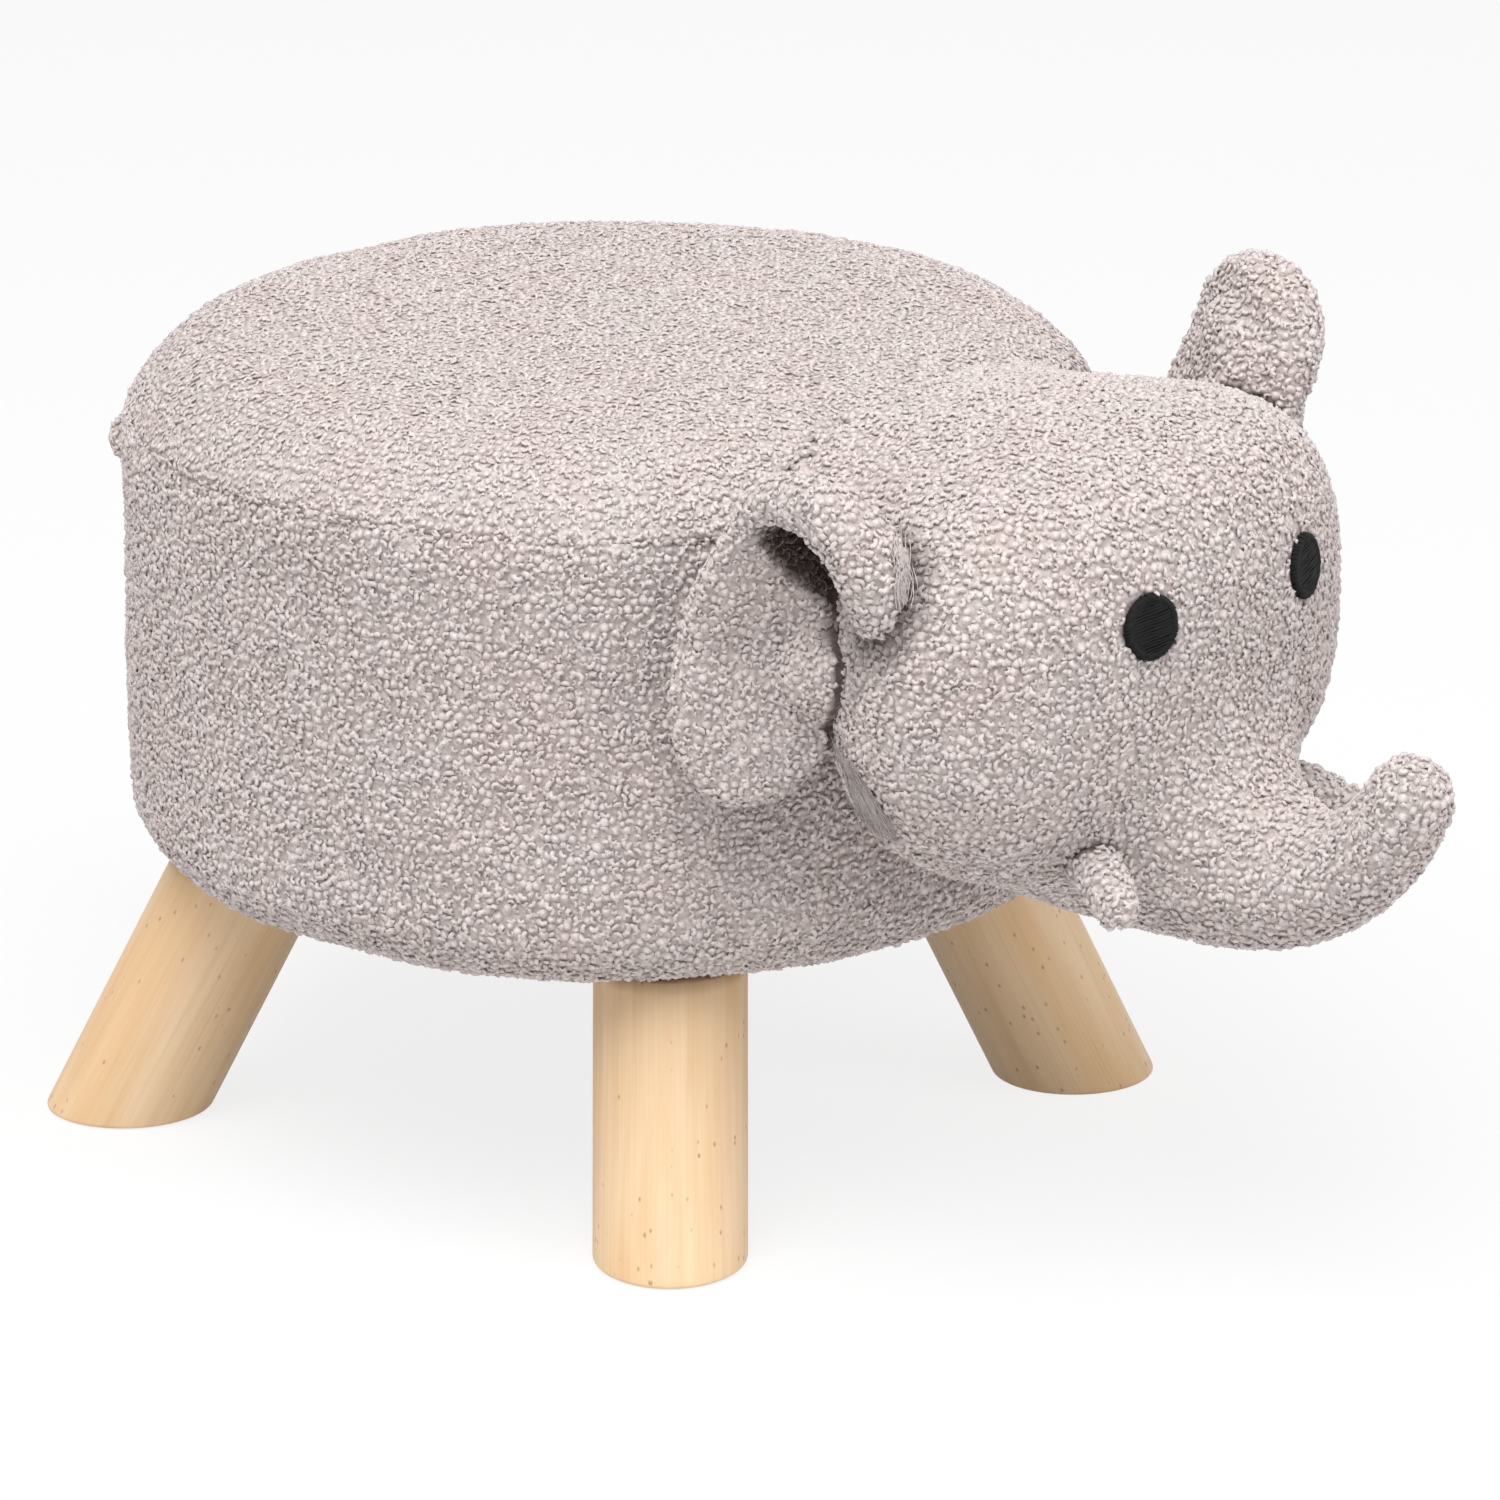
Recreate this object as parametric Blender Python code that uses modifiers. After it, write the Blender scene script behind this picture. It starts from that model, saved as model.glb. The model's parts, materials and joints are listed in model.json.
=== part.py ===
"""An elephant footstool: a round upholstered seat on four splayed wooden legs, with a stuffed head,
trunk, ears, tusks and tail.

Units are metres, with +Z up. The feet stand on Z = 0 and the head looks along -Y. The left and right
sides are the animal's own. The stool is built round the seat's upright axis and then moved along Y,
so that the origin is at the middle of the whole stool's footprint.
"""

import math

import bmesh
import bpy
import numpy as np
from mathutils import Matrix, Vector

# Driving dimensions of the seat.
SEAT_RADIUS = 0.150
SEAT_TOP_HEIGHT = 0.250
SEAT_BOTTOM_HEIGHT = 0.0817
SEAT_CROWN = 0.003
CROWN_FLAT_RADIUS = 0.035
SHOULDER_WIDTH = 0.044
SHOULDER_DROP = 0.035
ROLL_WIDTH = 0.028
ROLL_RISE = 0.024
SEAM_RISE_SHARE = 0.2286

# Cloth, foam and the gap that neighbouring pieces keep.
FIT_GAP = 0.0003
COVER_THICKNESS = 0.004
HEM_THICKNESS = 0.002
HEM_WIDTH = 0.030
DUST_COVER_THICKNESS = 0.0008
DUST_COVER_MARGIN = 0.0055
FOAM_SKIRT = 0.009

# Wooden frame inside the seat. Margins are measured inward from the edge of the piece outside.
BOARD_MARGIN = 0.026
BOARD_THICKNESS = 0.012
WALL_THICKNESS = 0.003
POST_SIDE = 0.030
POST_MARGIN = 0.036
POST_EDGE = 0.0015

# Legs. A leg's top is this far in from the board's edge, at an angle from the fore-and-aft line.
LEG_RADIUS = 0.0231
FOOT_EDGE = 0.0018
FRONT_LEG_MARGIN = 0.0182
FRONT_LEG_ANGLE = math.radians(41.05)
FRONT_LEG_TOE = math.radians(50.6)
FRONT_LEG_SPLAY = math.radians(25.4)
REAR_LEG_MARGIN = 0.0120
REAR_LEG_ANGLE = math.radians(47.06)
REAR_LEG_TOE = math.radians(43.1)
REAR_LEG_SPLAY = math.radians(27.0)

# Fasteners.
BOLT_RADIUS = 0.0040
BOLT_WOOD_RADIUS = 0.0036
BOLT_DEPTH_IN_LEG = 0.025
BOLT_POINT = 0.005
BOLT_CHAMFER = 0.0008
INSERT_WALL = 0.0012
INSERT_FLANGE_WIDTH = 0.0025
INSERT_FLANGE_THICKNESS = 0.0015
SCREW_RADIUS = 0.00175
SCREW_HEAD_RADIUS = 0.0036
SCREW_HEAD_HEIGHT = 0.0028
SCREW_HEAD_EDGE = 0.0004
SCREW_LENGTH = 0.032
SCREW_POINT = 0.004

# Stuffed head. Its middle is this far beyond the seat's side and below the seat's top.
HEAD_BEYOND_SEAT = 0.0315
HEAD_BELOW_TOP = 0.0645
HEAD_HALF_WIDTH = 0.0990
HEAD_HALF_DEPTH = 0.0545
HEAD_HALF_HEIGHT = 0.0680
CROWN_FULLNESS_SHARE = 0.64
JAW_FULLNESS_SHARE = 0.78

# Trunk: centre line in the fore-and-aft plane, as (forward, height, radius) from the head's middle.
TRUNK_STATIONS = (
    (0.0030, -0.0455, 0.0350),
    (0.0310, -0.0490, 0.0345),
    (0.0580, -0.0565, 0.0270),
    (0.0800, -0.0570, 0.0200),
    (0.0980, -0.0485, 0.0160),
    (0.1090, -0.0365, 0.0145),
    (0.1150, -0.0260, 0.0132),
)

# Tusks: centre line as (sideways, forward, height, radius) from the head's middle.
TUSK_STATIONS = (
    (0.0430, 0.0300, -0.0485, 0.0082),
    (0.0500, 0.0430, -0.0520, 0.0080),
    (0.0565, 0.0535, -0.0570, 0.0070),
)

# Tail: centre line as (backward, height, radius) from the seat's side and top.
TAIL_STATIONS = (
    (-0.0080, -0.0740, 0.0085),
    (0.0160, -0.0725, 0.0088),
    (0.0380, -0.0745, 0.0092),
    (0.0520, -0.0765, 0.0095),
)

# Embroidered eyes, placed from the head's middle.
EYE_SIDEWAYS = 0.0375
EYE_RISE = 0.0215
EYE_RADIUS = 0.0096
EYE_STITCH_HEIGHT = 0.0014

# Ears: each is a flap whose front part is pleated over it. Places are (sideways, forward, height) from
# the head's middle. The left ear stands up, so its flap and pleat are shifted (forward, up).
EAR_FLAP_CENTRE = (0.1030, -0.0385, 0.0110)
EAR_FLAP_HALF_SIZES = (0.0300, 0.0470, 0.0080)
EAR_PLEAT_CENTRE = (0.0970, -0.0125, 0.0420)
EAR_PLEAT_HALF_SIZES = (0.0185, 0.0265, 0.0120)
EAR_SWEEP = math.radians(50.0)
EAR_FLAP_LEAN = math.radians(-8.0)
EAR_PLEAT_LEAN = math.radians(-18.0)
LEFT_FLAP_SHIFT = (0.0140, 0.0330)
LEFT_PLEAT_SHIFT = (0.0100, 0.0310)

# How finely round shapes are divided.
ROUND_STEPS = 48
LEG_SIDES = 32
FASTENER_STEPS = 16
SCREW_STEPS = 12
CROWN_POINTS = 3
SHOULDER_POINTS = 5
ROLL_POINTS = 5
HEAD_SIDES = 32
HEAD_RINGS = 20
LOBE_SIDES = 18
LOBE_RINGS = 10
EYE_SIDES = 24
POINTS_PER_SPAN = 3
TIP_RINGS = 4
TUBE_RESOLUTION = 6
TIP_SHARE = 0.35
EDGE_SEGMENTS = 2
POST_EDGE_SEGMENTS = 1
SHARP_ANGLE = math.radians(35.0)
MERGE_DISTANCE = 0.00002
OVERRUN = 0.010

# Radii that follow from the seat's, from its side inward.
BOARD_RADIUS = SEAT_RADIUS - BOARD_MARGIN
DUST_COVER_RADIUS = BOARD_RADIUS - DUST_COVER_MARGIN
HEM_INNER_RADIUS = BOARD_RADIUS - HEM_WIDTH
POST_CIRCLE_RADIUS = BOARD_RADIUS - POST_MARGIN

# Heights that follow from the seat's, from the legs' flat tops up.
LEG_TOP = SEAT_BOTTOM_HEIGHT - FIT_GAP
DUST_COVER_BOTTOM = LEG_TOP + FIT_GAP
HEM_BOTTOM = DUST_COVER_BOTTOM + DUST_COVER_THICKNESS + FIT_GAP
HEM_TOP = HEM_BOTTOM + HEM_THICKNESS
BASE_BOARD_BOTTOM = HEM_TOP + FIT_GAP
BASE_BOARD_TOP = BASE_BOARD_BOTTOM + BOARD_THICKNESS
SHOULDER_BOTTOM = SEAT_TOP_HEIGHT - SHOULDER_DROP
SEAM_HEIGHT = SHOULDER_BOTTOM + SHOULDER_DROP * SEAM_RISE_SHARE
FOAM_BOTTOM = SHOULDER_BOTTOM - FOAM_SKIRT
TOP_BOARD_TOP = FOAM_BOTTOM - FIT_GAP
TOP_BOARD_BOTTOM = TOP_BOARD_TOP - BOARD_THICKNESS

# The head's middle, measured from the seat's axis and the floor.
HEAD_FORWARD = SEAT_RADIUS + HEAD_BEYOND_SEAT
HEAD_HEIGHT = SEAT_TOP_HEIGHT - HEAD_BELOW_TOP

SIDES = {"left": 1, "right": -1}


def clear_scene():
    for thing in list(bpy.data.objects):
        bpy.data.objects.remove(thing, do_unlink=True)


def new_collection(name):
    collection = bpy.data.collections.new(name)
    bpy.context.scene.collection.children.link(collection)
    return collection


def make_material(name, color, roughness, metallic=0.0):
    material = bpy.data.materials.new(name)
    material.use_nodes = True
    shader = material.node_tree.nodes["Principled BSDF"]
    shader.inputs["Base Color"].default_value = (*color, 1.0)
    shader.inputs["Roughness"].default_value = roughness
    shader.inputs["Metallic"].default_value = metallic
    material.diffuse_color = (*color, 1.0)
    return material


def add_object(name, mesh, material, place=(0, 0, 0)):
    """A part of the stool, standing on the stool's own root."""
    obj = bpy.data.objects.new(name, mesh)
    obj.location = place
    obj.parent = ROOT
    PARTS.objects.link(obj)
    obj.data.materials.append(material)
    return obj


def add_cutter(name, mesh, place=(0, 0, 0)):
    obj = bpy.data.objects.new(name, mesh)
    obj.location = place
    obj.parent = ROOT
    obj.hide_render = True
    obj.display_type = "WIRE"
    CUTTERS.objects.link(obj)
    return obj


def mesh_from(name, bm):
    bmesh.ops.recalc_face_normals(bm, faces=bm.faces)
    mesh = bpy.data.meshes.new(name)
    bm.to_mesh(mesh)
    bm.free()
    mesh.shade_smooth()
    mesh.set_sharp_from_angle(angle=SHARP_ANGLE)
    return mesh


def join_shape(obj, other, operation):
    modifier = obj.modifiers.new(f"{operation.lower()}_{other.name}", "BOOLEAN")
    modifier.operation = operation
    modifier.object = other


def cut(obj, *cutters):
    for cutter in cutters:
        join_shape(obj, cutter, "DIFFERENCE")


def arc(centre, radii, start, end, points):
    """Points (radius, height) on a quarter or other stretch of an ellipse; angles run up from outward."""
    angles = np.linspace(start, end, points)
    return [(centre[0] + radii[0] * math.cos(a), centre[1] + radii[1] * math.sin(a)) for a in angles]


def turned_mesh(name, profile, closed):
    mesh = bpy.data.meshes.new(name)
    count = len(profile)
    edges = [(i, i + 1) for i in range(count - 1)]
    if closed:
        edges.append((count - 1, 0))
    mesh.from_pydata([(r, 0, z) for r, z in profile], edges, [])
    return mesh


def turn(obj, steps):
    """Turns the object's outline once round its own Z axis."""
    modifier = obj.modifiers.new("turned", "SCREW")
    modifier.axis = "Z"
    modifier.steps = steps
    modifier.render_steps = steps
    modifier.use_merge_vertices = True
    modifier.merge_threshold = MERGE_DISTANCE
    modifier.use_smooth_shade = True
    return obj


def crown_outline(inset):
    """The seat's top from its middle out to its shoulder, this far inside the cover's outer face."""
    start = SEAT_RADIUS - SHOULDER_WIDTH
    radii = np.linspace(CROWN_FLAT_RADIUS, start, CROWN_POINTS)
    rise = SEAT_CROWN * (1 - ((radii - CROWN_FLAT_RADIUS) / (start - CROWN_FLAT_RADIUS)) ** 2)
    heights = SEAT_TOP_HEIGHT - inset + rise
    return [(0.0, heights[0])] + [(float(r), float(h)) for r, h in zip(radii, heights)]


def shoulder_outline(inset, lowest):
    """The rounded shoulder, from the crown down to the given height."""
    centre = (SEAT_RADIUS - SHOULDER_WIDTH, SHOULDER_BOTTOM)
    radii = (SHOULDER_WIDTH - inset, SHOULDER_DROP - inset)
    drop = (lowest - centre[1]) / radii[1]
    return arc(centre, radii, math.pi / 2, math.asin(max(drop, 0.0)), SHOULDER_POINTS)[1:]


def roll_outline(inset, innermost):
    """The rounded lower edge, from the seat's side in to the given radius."""
    centre = (SEAT_RADIUS - ROLL_WIDTH, SEAT_BOTTOM_HEIGHT + ROLL_RISE)
    radii = (ROLL_WIDTH - inset, ROLL_RISE - inset)
    reach = max((innermost - centre[0]) / radii[0], 0.0)
    return arc(centre, radii, 0.0, -math.acos(reach), ROLL_POINTS)


def seat_side_top(grow):
    """Radius of the seat's shoulder at the seam, grown by a clearance."""
    drop = (SEAM_HEIGHT - SHOULDER_BOTTOM) / (SHOULDER_DROP + grow)
    return SEAT_RADIUS - SHOULDER_WIDTH + (SHOULDER_WIDTH + grow) * math.sqrt(1 - drop**2)


def build_seat_covers():
    cloth = make_material("boucle_cloth", (0.62, 0.56, 0.54), 0.95)
    top = crown_outline(0.0) + shoulder_outline(0.0, SEAM_HEIGHT)
    inner = crown_outline(COVER_THICKNESS) + shoulder_outline(COVER_THICKNESS, SEAM_HEIGHT)
    mesh = turned_mesh("seat_top_cover", top + inner[::-1], False)
    turn(add_object("seat_top_cover", mesh, cloth), ROUND_STEPS)

    upper_edge = SEAM_HEIGHT - FIT_GAP
    inside = SEAT_RADIUS - COVER_THICKNESS
    roll_end = SEAT_RADIUS - ROLL_WIDTH
    board_corner = BOARD_RADIUS + 2 * FIT_GAP
    outer = [(seat_side_top(0.0), upper_edge), (SEAT_RADIUS, SHOULDER_BOTTOM)]
    outer += roll_outline(0.0, roll_end)
    outer += [(DUST_COVER_RADIUS + HEM_THICKNESS, HEM_BOTTOM), (HEM_INNER_RADIUS, HEM_BOTTOM)]
    inner = [(HEM_INNER_RADIUS, HEM_TOP), (board_corner, HEM_TOP)]
    inner += roll_outline(COVER_THICKNESS, board_corner + HEM_THICKNESS)[::-1]
    inner += [(inside, SHOULDER_BOTTOM), (seat_side_top(-COVER_THICKNESS), upper_edge)]
    side = add_object("seat_side_cover", turned_mesh("seat_side_cover", outer + inner, True), cloth)
    turn(side, ROUND_STEPS)

    lining = make_material("dust_cloth", (0.03, 0.03, 0.03), 0.9)
    bm = bmesh.new()
    bmesh.ops.create_cone(
        bm,
        cap_ends=True,
        segments=ROUND_STEPS,
        radius1=DUST_COVER_RADIUS,
        radius2=DUST_COVER_RADIUS,
        depth=DUST_COVER_THICKNESS,
    )
    height = DUST_COVER_BOTTOM + DUST_COVER_THICKNESS / 2
    dust = add_object("dust_cover", mesh_from("dust_cover", bm), lining, (0, 0, height))
    return cloth, side, dust


def build_padding():
    foam = make_material("foam", (0.80, 0.74, 0.52), 0.9)
    inset = COVER_THICKNESS + FIT_GAP
    outer_radius = SEAT_RADIUS - inset
    profile = crown_outline(inset) + shoulder_outline(inset, SEAM_HEIGHT)
    profile += [(outer_radius, SHOULDER_BOTTOM), (outer_radius, FOAM_BOTTOM), (0.0, FOAM_BOTTOM)]
    turn(add_object("seat_foam", turned_mesh("seat_foam", profile, False), foam), ROUND_STEPS)

    wadding = make_material("wadding", (0.86, 0.85, 0.82), 0.95)
    inner_radius = BOARD_RADIUS + FIT_GAP
    roll = roll_outline(inset, inner_radius + COVER_THICKNESS)
    profile = [(outer_radius, TOP_BOARD_TOP)] + roll
    profile += [(inner_radius, roll[-1][1] + FIT_GAP), (inner_radius, TOP_BOARD_TOP)]
    wrap = add_object("side_wadding", turned_mesh("side_wadding", profile, True), wadding)
    turn(wrap, ROUND_STEPS)


def board_mesh(name):
    bm = bmesh.new()
    bmesh.ops.create_cone(
        bm,
        cap_ends=True,
        segments=ROUND_STEPS,
        radius1=BOARD_RADIUS,
        radius2=BOARD_RADIUS,
        depth=BOARD_THICKNESS,
    )
    return mesh_from(name, bm)


def screw_outline(grow):
    """A countersunk wood screw, head up, from the middle of its head down to its point."""
    tip = -SCREW_LENGTH - grow
    return [
        (0.0, grow),
        (SCREW_HEAD_RADIUS + grow, grow),
        (SCREW_HEAD_RADIUS + grow, -SCREW_HEAD_EDGE),
        (SCREW_RADIUS + grow, -SCREW_HEAD_HEIGHT),
        (SCREW_RADIUS + grow, tip + SCREW_POINT),
        (0.0, tip),
    ]


def post_places():
    r = POST_CIRCLE_RADIUS
    return {"front": (0, -r), "rear": (0, r), "left": (r, 0), "right": (-r, 0)}


def build_frame():
    """The two boards, the posts and the thin wall between them, and the screws that hold the posts."""
    plywood = make_material("plywood", (0.70, 0.55, 0.36), 0.7)
    pine = make_material("frame_pine", (0.78, 0.62, 0.42), 0.7)
    hardboard = make_material("hardboard", (0.36, 0.24, 0.15), 0.8)
    zinc = make_material("zinc_plate", (0.70, 0.71, 0.73), 0.35, 1.0)

    half = BOARD_THICKNESS / 2
    base = add_object("base_board", board_mesh("base_board"), plywood, (0, 0, BASE_BOARD_BOTTOM + half))
    top = add_object("top_board", board_mesh("top_board"), plywood, (0, 0, TOP_BOARD_BOTTOM + half))

    bottom, roof = BASE_BOARD_TOP + FIT_GAP, TOP_BOARD_BOTTOM - FIT_GAP
    wall_outer = BOARD_RADIUS - FIT_GAP
    wall_inner = wall_outer - WALL_THICKNESS
    profile = [(wall_outer, roof), (wall_outer, bottom), (wall_inner, bottom), (wall_inner, roof)]
    wall = add_object("frame_wall", turned_mesh("frame_wall", profile, True), hardboard)
    turn(wall, ROUND_STEPS)

    for name, (x, y) in post_places().items():
        bm = bmesh.new()
        bmesh.ops.create_cube(bm, size=1.0)
        bmesh.ops.scale(bm, vec=(POST_SIDE, POST_SIDE, roof - bottom), verts=bm.verts)
        post = add_object(f"frame_post_{name}", mesh_from("post", bm), pine, (x, y, (roof + bottom) / 2))
        bevel = post.modifiers.new("eased_edges", "BEVEL")
        bevel.width = POST_EDGE
        bevel.segments = POST_EDGE_SEGMENTS
        for board, label, height, flip in (
            (top, "top", TOP_BOARD_TOP, 0.0),
            (base, "base", BASE_BOARD_BOTTOM, math.pi),
        ):
            screw_mesh = turned_mesh("screw", screw_outline(0.0), False)
            screw = add_object(f"{label}_screw_{name}", screw_mesh, zinc, (x, y, height))
            hole_mesh = turned_mesh("screw_hole", screw_outline(FIT_GAP), False)
            hole = add_cutter(f"cut_{label}_screw_{name}", hole_mesh, (x, y, height))
            for obj in (screw, hole):
                obj.rotation_euler.x = flip
                turn(obj, SCREW_STEPS)
            cut(board, hole)
            cut(post, hole)
    return base


def leg_data():
    """Each leg's top centre and foot centre, its outward direction and its splay."""
    legs = {}
    for end, way, margin, angle, toe, splay in (
        ("front", -1, FRONT_LEG_MARGIN, FRONT_LEG_ANGLE, FRONT_LEG_TOE, FRONT_LEG_SPLAY),
        ("rear", 1, REAR_LEG_MARGIN, REAR_LEG_ANGLE, REAR_LEG_TOE, REAR_LEG_SPLAY),
    ):
        for side, sign in SIDES.items():
            top = Vector((sign * math.sin(angle), way * math.cos(angle), 0)) * (BOARD_RADIUS - margin)
            outward = Vector((sign * math.sin(toe), way * math.cos(toe), 0))
            foot = top + outward * math.tan(splay) * LEG_TOP
            legs[f"{end}_{side}"] = (top, foot, outward, splay)
    return legs


def leg_mesh(outward, splay):
    """A round leg leaning outward at its foot, cut level at the floor and under the seat."""
    axis = Vector((0, 0, math.cos(splay))) - outward * math.sin(splay)
    length = LEG_TOP / math.cos(splay) + 2 * LEG_RADIUS
    bm = bmesh.new()
    bmesh.ops.create_cone(
        bm,
        cap_ends=True,
        segments=LEG_SIDES,
        radius1=LEG_RADIUS,
        radius2=LEG_RADIUS,
        depth=2 * length,
    )
    bmesh.ops.rotate(bm, verts=bm.verts, matrix=Vector((0, 0, 1)).rotation_difference(axis).to_matrix())
    for height, normal in ((0.0, (0, 0, -1)), (LEG_TOP, (0, 0, 1))):
        found = bmesh.ops.bisect_plane(
            bm,
            geom=bm.verts[:] + bm.edges[:] + bm.faces[:],
            plane_co=(0, 0, height),
            plane_no=normal,
            clear_outer=True,
        )
        edges = [e for e in found["geom_cut"] if isinstance(e, bmesh.types.BMEdge)]
        bmesh.ops.contextual_create(bm, geom=edges)
    return mesh_from("leg", bm)


def bolt_outline(grow):
    """A hanger bolt about its middle at Z = 0: machine thread above, wood thread and point below."""
    top = BASE_BOARD_TOP - LEG_TOP + INSERT_FLANGE_THICKNESS
    return [
        (0.0, top + grow),
        (BOLT_RADIUS - BOLT_CHAMFER + grow, top + grow),
        (BOLT_RADIUS + grow, top - BOLT_CHAMFER),
        (BOLT_RADIUS + grow, BOLT_CHAMFER - grow),
        (BOLT_WOOD_RADIUS + grow, -grow),
        (BOLT_WOOD_RADIUS + grow, BOLT_POINT - BOLT_DEPTH_IN_LEG),
        (0.0, -BOLT_DEPTH_IN_LEG - grow),
    ]


def insert_outline():
    """A threaded insert: its barrel fills the base board's hole and its flange lies on the board."""
    bore = BOLT_RADIUS + FIT_GAP
    barrel = bore + INSERT_WALL
    flange = barrel + INSERT_FLANGE_WIDTH
    flange_bottom = BASE_BOARD_TOP + FIT_GAP
    flange_top = flange_bottom + INSERT_FLANGE_THICKNESS
    return [
        (bore, flange_top),
        (flange, flange_top),
        (flange, flange_bottom),
        (barrel, flange_bottom),
        (barrel, BASE_BOARD_BOTTOM),
        (bore, BASE_BOARD_BOTTOM),
    ]


def cylinder_cutter(name, radius, low, high, x, y):
    bm = bmesh.new()
    bmesh.ops.create_cone(
        bm,
        cap_ends=True,
        segments=FASTENER_STEPS,
        radius1=radius,
        radius2=radius,
        depth=high - low,
    )
    return add_cutter(name, mesh_from(name, bm), (x, y, (low + high) / 2))


def build_legs(base_board, side_cover, dust_cover):
    pine = make_material("leg_pine", (0.86, 0.67, 0.42), 0.5)
    steel = make_material("bolt_steel", (0.62, 0.62, 0.64), 0.4, 1.0)
    for name, (top, foot, outward, splay) in leg_data().items():
        leg = add_object(f"leg_{name}", leg_mesh(outward, splay), pine, foot)
        edge = leg.modifiers.new("eased_foot", "BEVEL")
        edge.width = FOOT_EDGE
        edge.segments = EDGE_SEGMENTS

        bolt_mesh = turned_mesh("bolt", bolt_outline(0.0), False)
        bolt = add_object(f"leg_bolt_{name}", bolt_mesh, steel, (top.x, top.y, LEG_TOP))
        turn(bolt, FASTENER_STEPS)
        hole_mesh = turned_mesh("bolt_hole", bolt_outline(FIT_GAP), False)
        hole = turn(add_cutter(f"cut_bolt_{name}", hole_mesh, (top.x, top.y, LEG_TOP)), FASTENER_STEPS)
        cut(leg, hole)

        insert_mesh = turned_mesh("insert", insert_outline(), True)
        insert = add_object(f"leg_insert_{name}", insert_mesh, steel, (top.x, top.y, 0))
        turn(insert, FASTENER_STEPS)
        barrel = BOLT_RADIUS + 2 * FIT_GAP + INSERT_WALL
        seat = cylinder_cutter(
            f"cut_insert_{name}",
            barrel,
            BASE_BOARD_BOTTOM - OVERRUN,
            BASE_BOARD_TOP + OVERRUN,
            top.x,
            top.y,
        )
        cut(base_board, seat)
        cloth_hole = cylinder_cutter(
            f"cut_cloth_{name}",
            BOLT_RADIUS + 2 * FIT_GAP,
            LEG_TOP - OVERRUN,
            BASE_BOARD_BOTTOM,
            top.x,
            top.y,
        )
        cut(side_cover, cloth_hole)
        cut(dust_cover, cloth_hole)


def seat_clearance():
    """The seat's outer form, grown by the gap, that cuts whatever is sewn against it."""
    profile = crown_outline(-FIT_GAP) + shoulder_outline(-FIT_GAP, SEAM_HEIGHT)
    profile += [(SEAT_RADIUS + FIT_GAP, SHOULDER_BOTTOM)]
    profile += roll_outline(-FIT_GAP, SEAT_RADIUS - ROLL_WIDTH)
    profile += [(0.0, SEAT_BOTTOM_HEIGHT - FIT_GAP)]
    return turn(add_cutter("cut_seat", turned_mesh("cut_seat", profile, False)), ROUND_STEPS)


def head_mesh(name, grow):
    """The stuffed head: an oval seen from above, fuller than an oval seen from the side."""
    bm = bmesh.new()
    bmesh.ops.create_uvsphere(bm, u_segments=HEAD_SIDES, v_segments=HEAD_RINGS, radius=1.0)
    for vert in bm.verts:
        flat = math.hypot(vert.co.x, vert.co.y)
        share = CROWN_FULLNESS_SHARE if vert.co.z > 0 else JAW_FULLNESS_SHARE
        full = flat ** (share - 1) if flat > 0 else 1.0
        rise = math.copysign(abs(vert.co.z) ** share, vert.co.z)
        vert.co = (
            vert.co.x * full * (HEAD_HALF_WIDTH + grow),
            vert.co.y * full * (HEAD_HALF_DEPTH + grow),
            rise * (HEAD_HALF_HEIGHT + grow),
        )
    return mesh_from(name, bm)


def from_head(sideways, forward, height):
    """A place given from the head's middle, measured from the seat's axis and the floor."""
    return (sideways, -HEAD_FORWARD - forward, HEAD_HEIGHT + height)


def smooth_stations(stations):
    """Points between the stations on a curve that passes through each of them."""
    rows = np.array(stations, float)
    padded = np.vstack([2 * rows[0] - rows[1], rows, 2 * rows[-1] - rows[-2]])
    found = []
    for i in range(1, len(padded) - 2):
        before, here, after, beyond = padded[i - 1 : i + 3]
        for t in np.linspace(0, 1, POINTS_PER_SPAN, endpoint=False):
            found.append(
                0.5
                * (
                    2 * here
                    + (after - before) * t
                    + (2 * before - 5 * here + 4 * after - beyond) * t**2
                    + (3 * here - before - 3 * after + beyond) * t**3
                )
            )
    return np.array(found + [rows[-1]])


def limb(name, stations):
    """A tapering stuffed tube with a domed end, as a mesh. Each station is (x, y, z, radius)."""
    rows = smooth_stations(stations)
    heading = rows[-1, :3] - rows[-2, :3]
    heading /= np.linalg.norm(heading)
    end = rows[-1]
    for angle in np.linspace(0, math.pi / 2, TIP_RINGS + 1)[1:]:
        radius = end[3] * max(math.cos(angle), TIP_SHARE)
        centre = end[:3] + heading * end[3] * math.sin(angle)
        rows = np.vstack([rows, [*centre, radius]])
    curve = bpy.data.curves.new(name, "CURVE")
    curve.dimensions = "3D"
    curve.bevel_depth = 1.0
    curve.bevel_resolution = TUBE_RESOLUTION
    curve.use_fill_caps = True
    spline = curve.splines.new("POLY")
    spline.points.add(len(rows) - 1)
    for point, (x, y, z, radius) in zip(spline.points, rows):
        point.co = (x, y, z, 1.0)
        point.radius = radius
    tube = bpy.data.objects.new(name, curve)
    CUTTERS.objects.link(tube)
    bpy.context.view_layer.update()
    mesh = bpy.data.meshes.new_from_object(tube.evaluated_get(bpy.context.evaluated_depsgraph_get()))
    bpy.data.objects.remove(tube)
    bm = bmesh.new()
    bm.from_mesh(mesh)
    bpy.data.meshes.remove(mesh)
    bmesh.ops.remove_doubles(bm, verts=bm.verts, dist=MERGE_DISTANCE)
    return mesh_from(name, bm)


def build_head(cloth, seat_form):
    head = add_object("head", head_mesh("head", 0.0), cloth, from_head(0, 0, 0))
    cut(head, seat_form)
    head_form = add_cutter("cut_head", head_mesh("cut_head", FIT_GAP), from_head(0, 0, 0))
    return head_form


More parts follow.
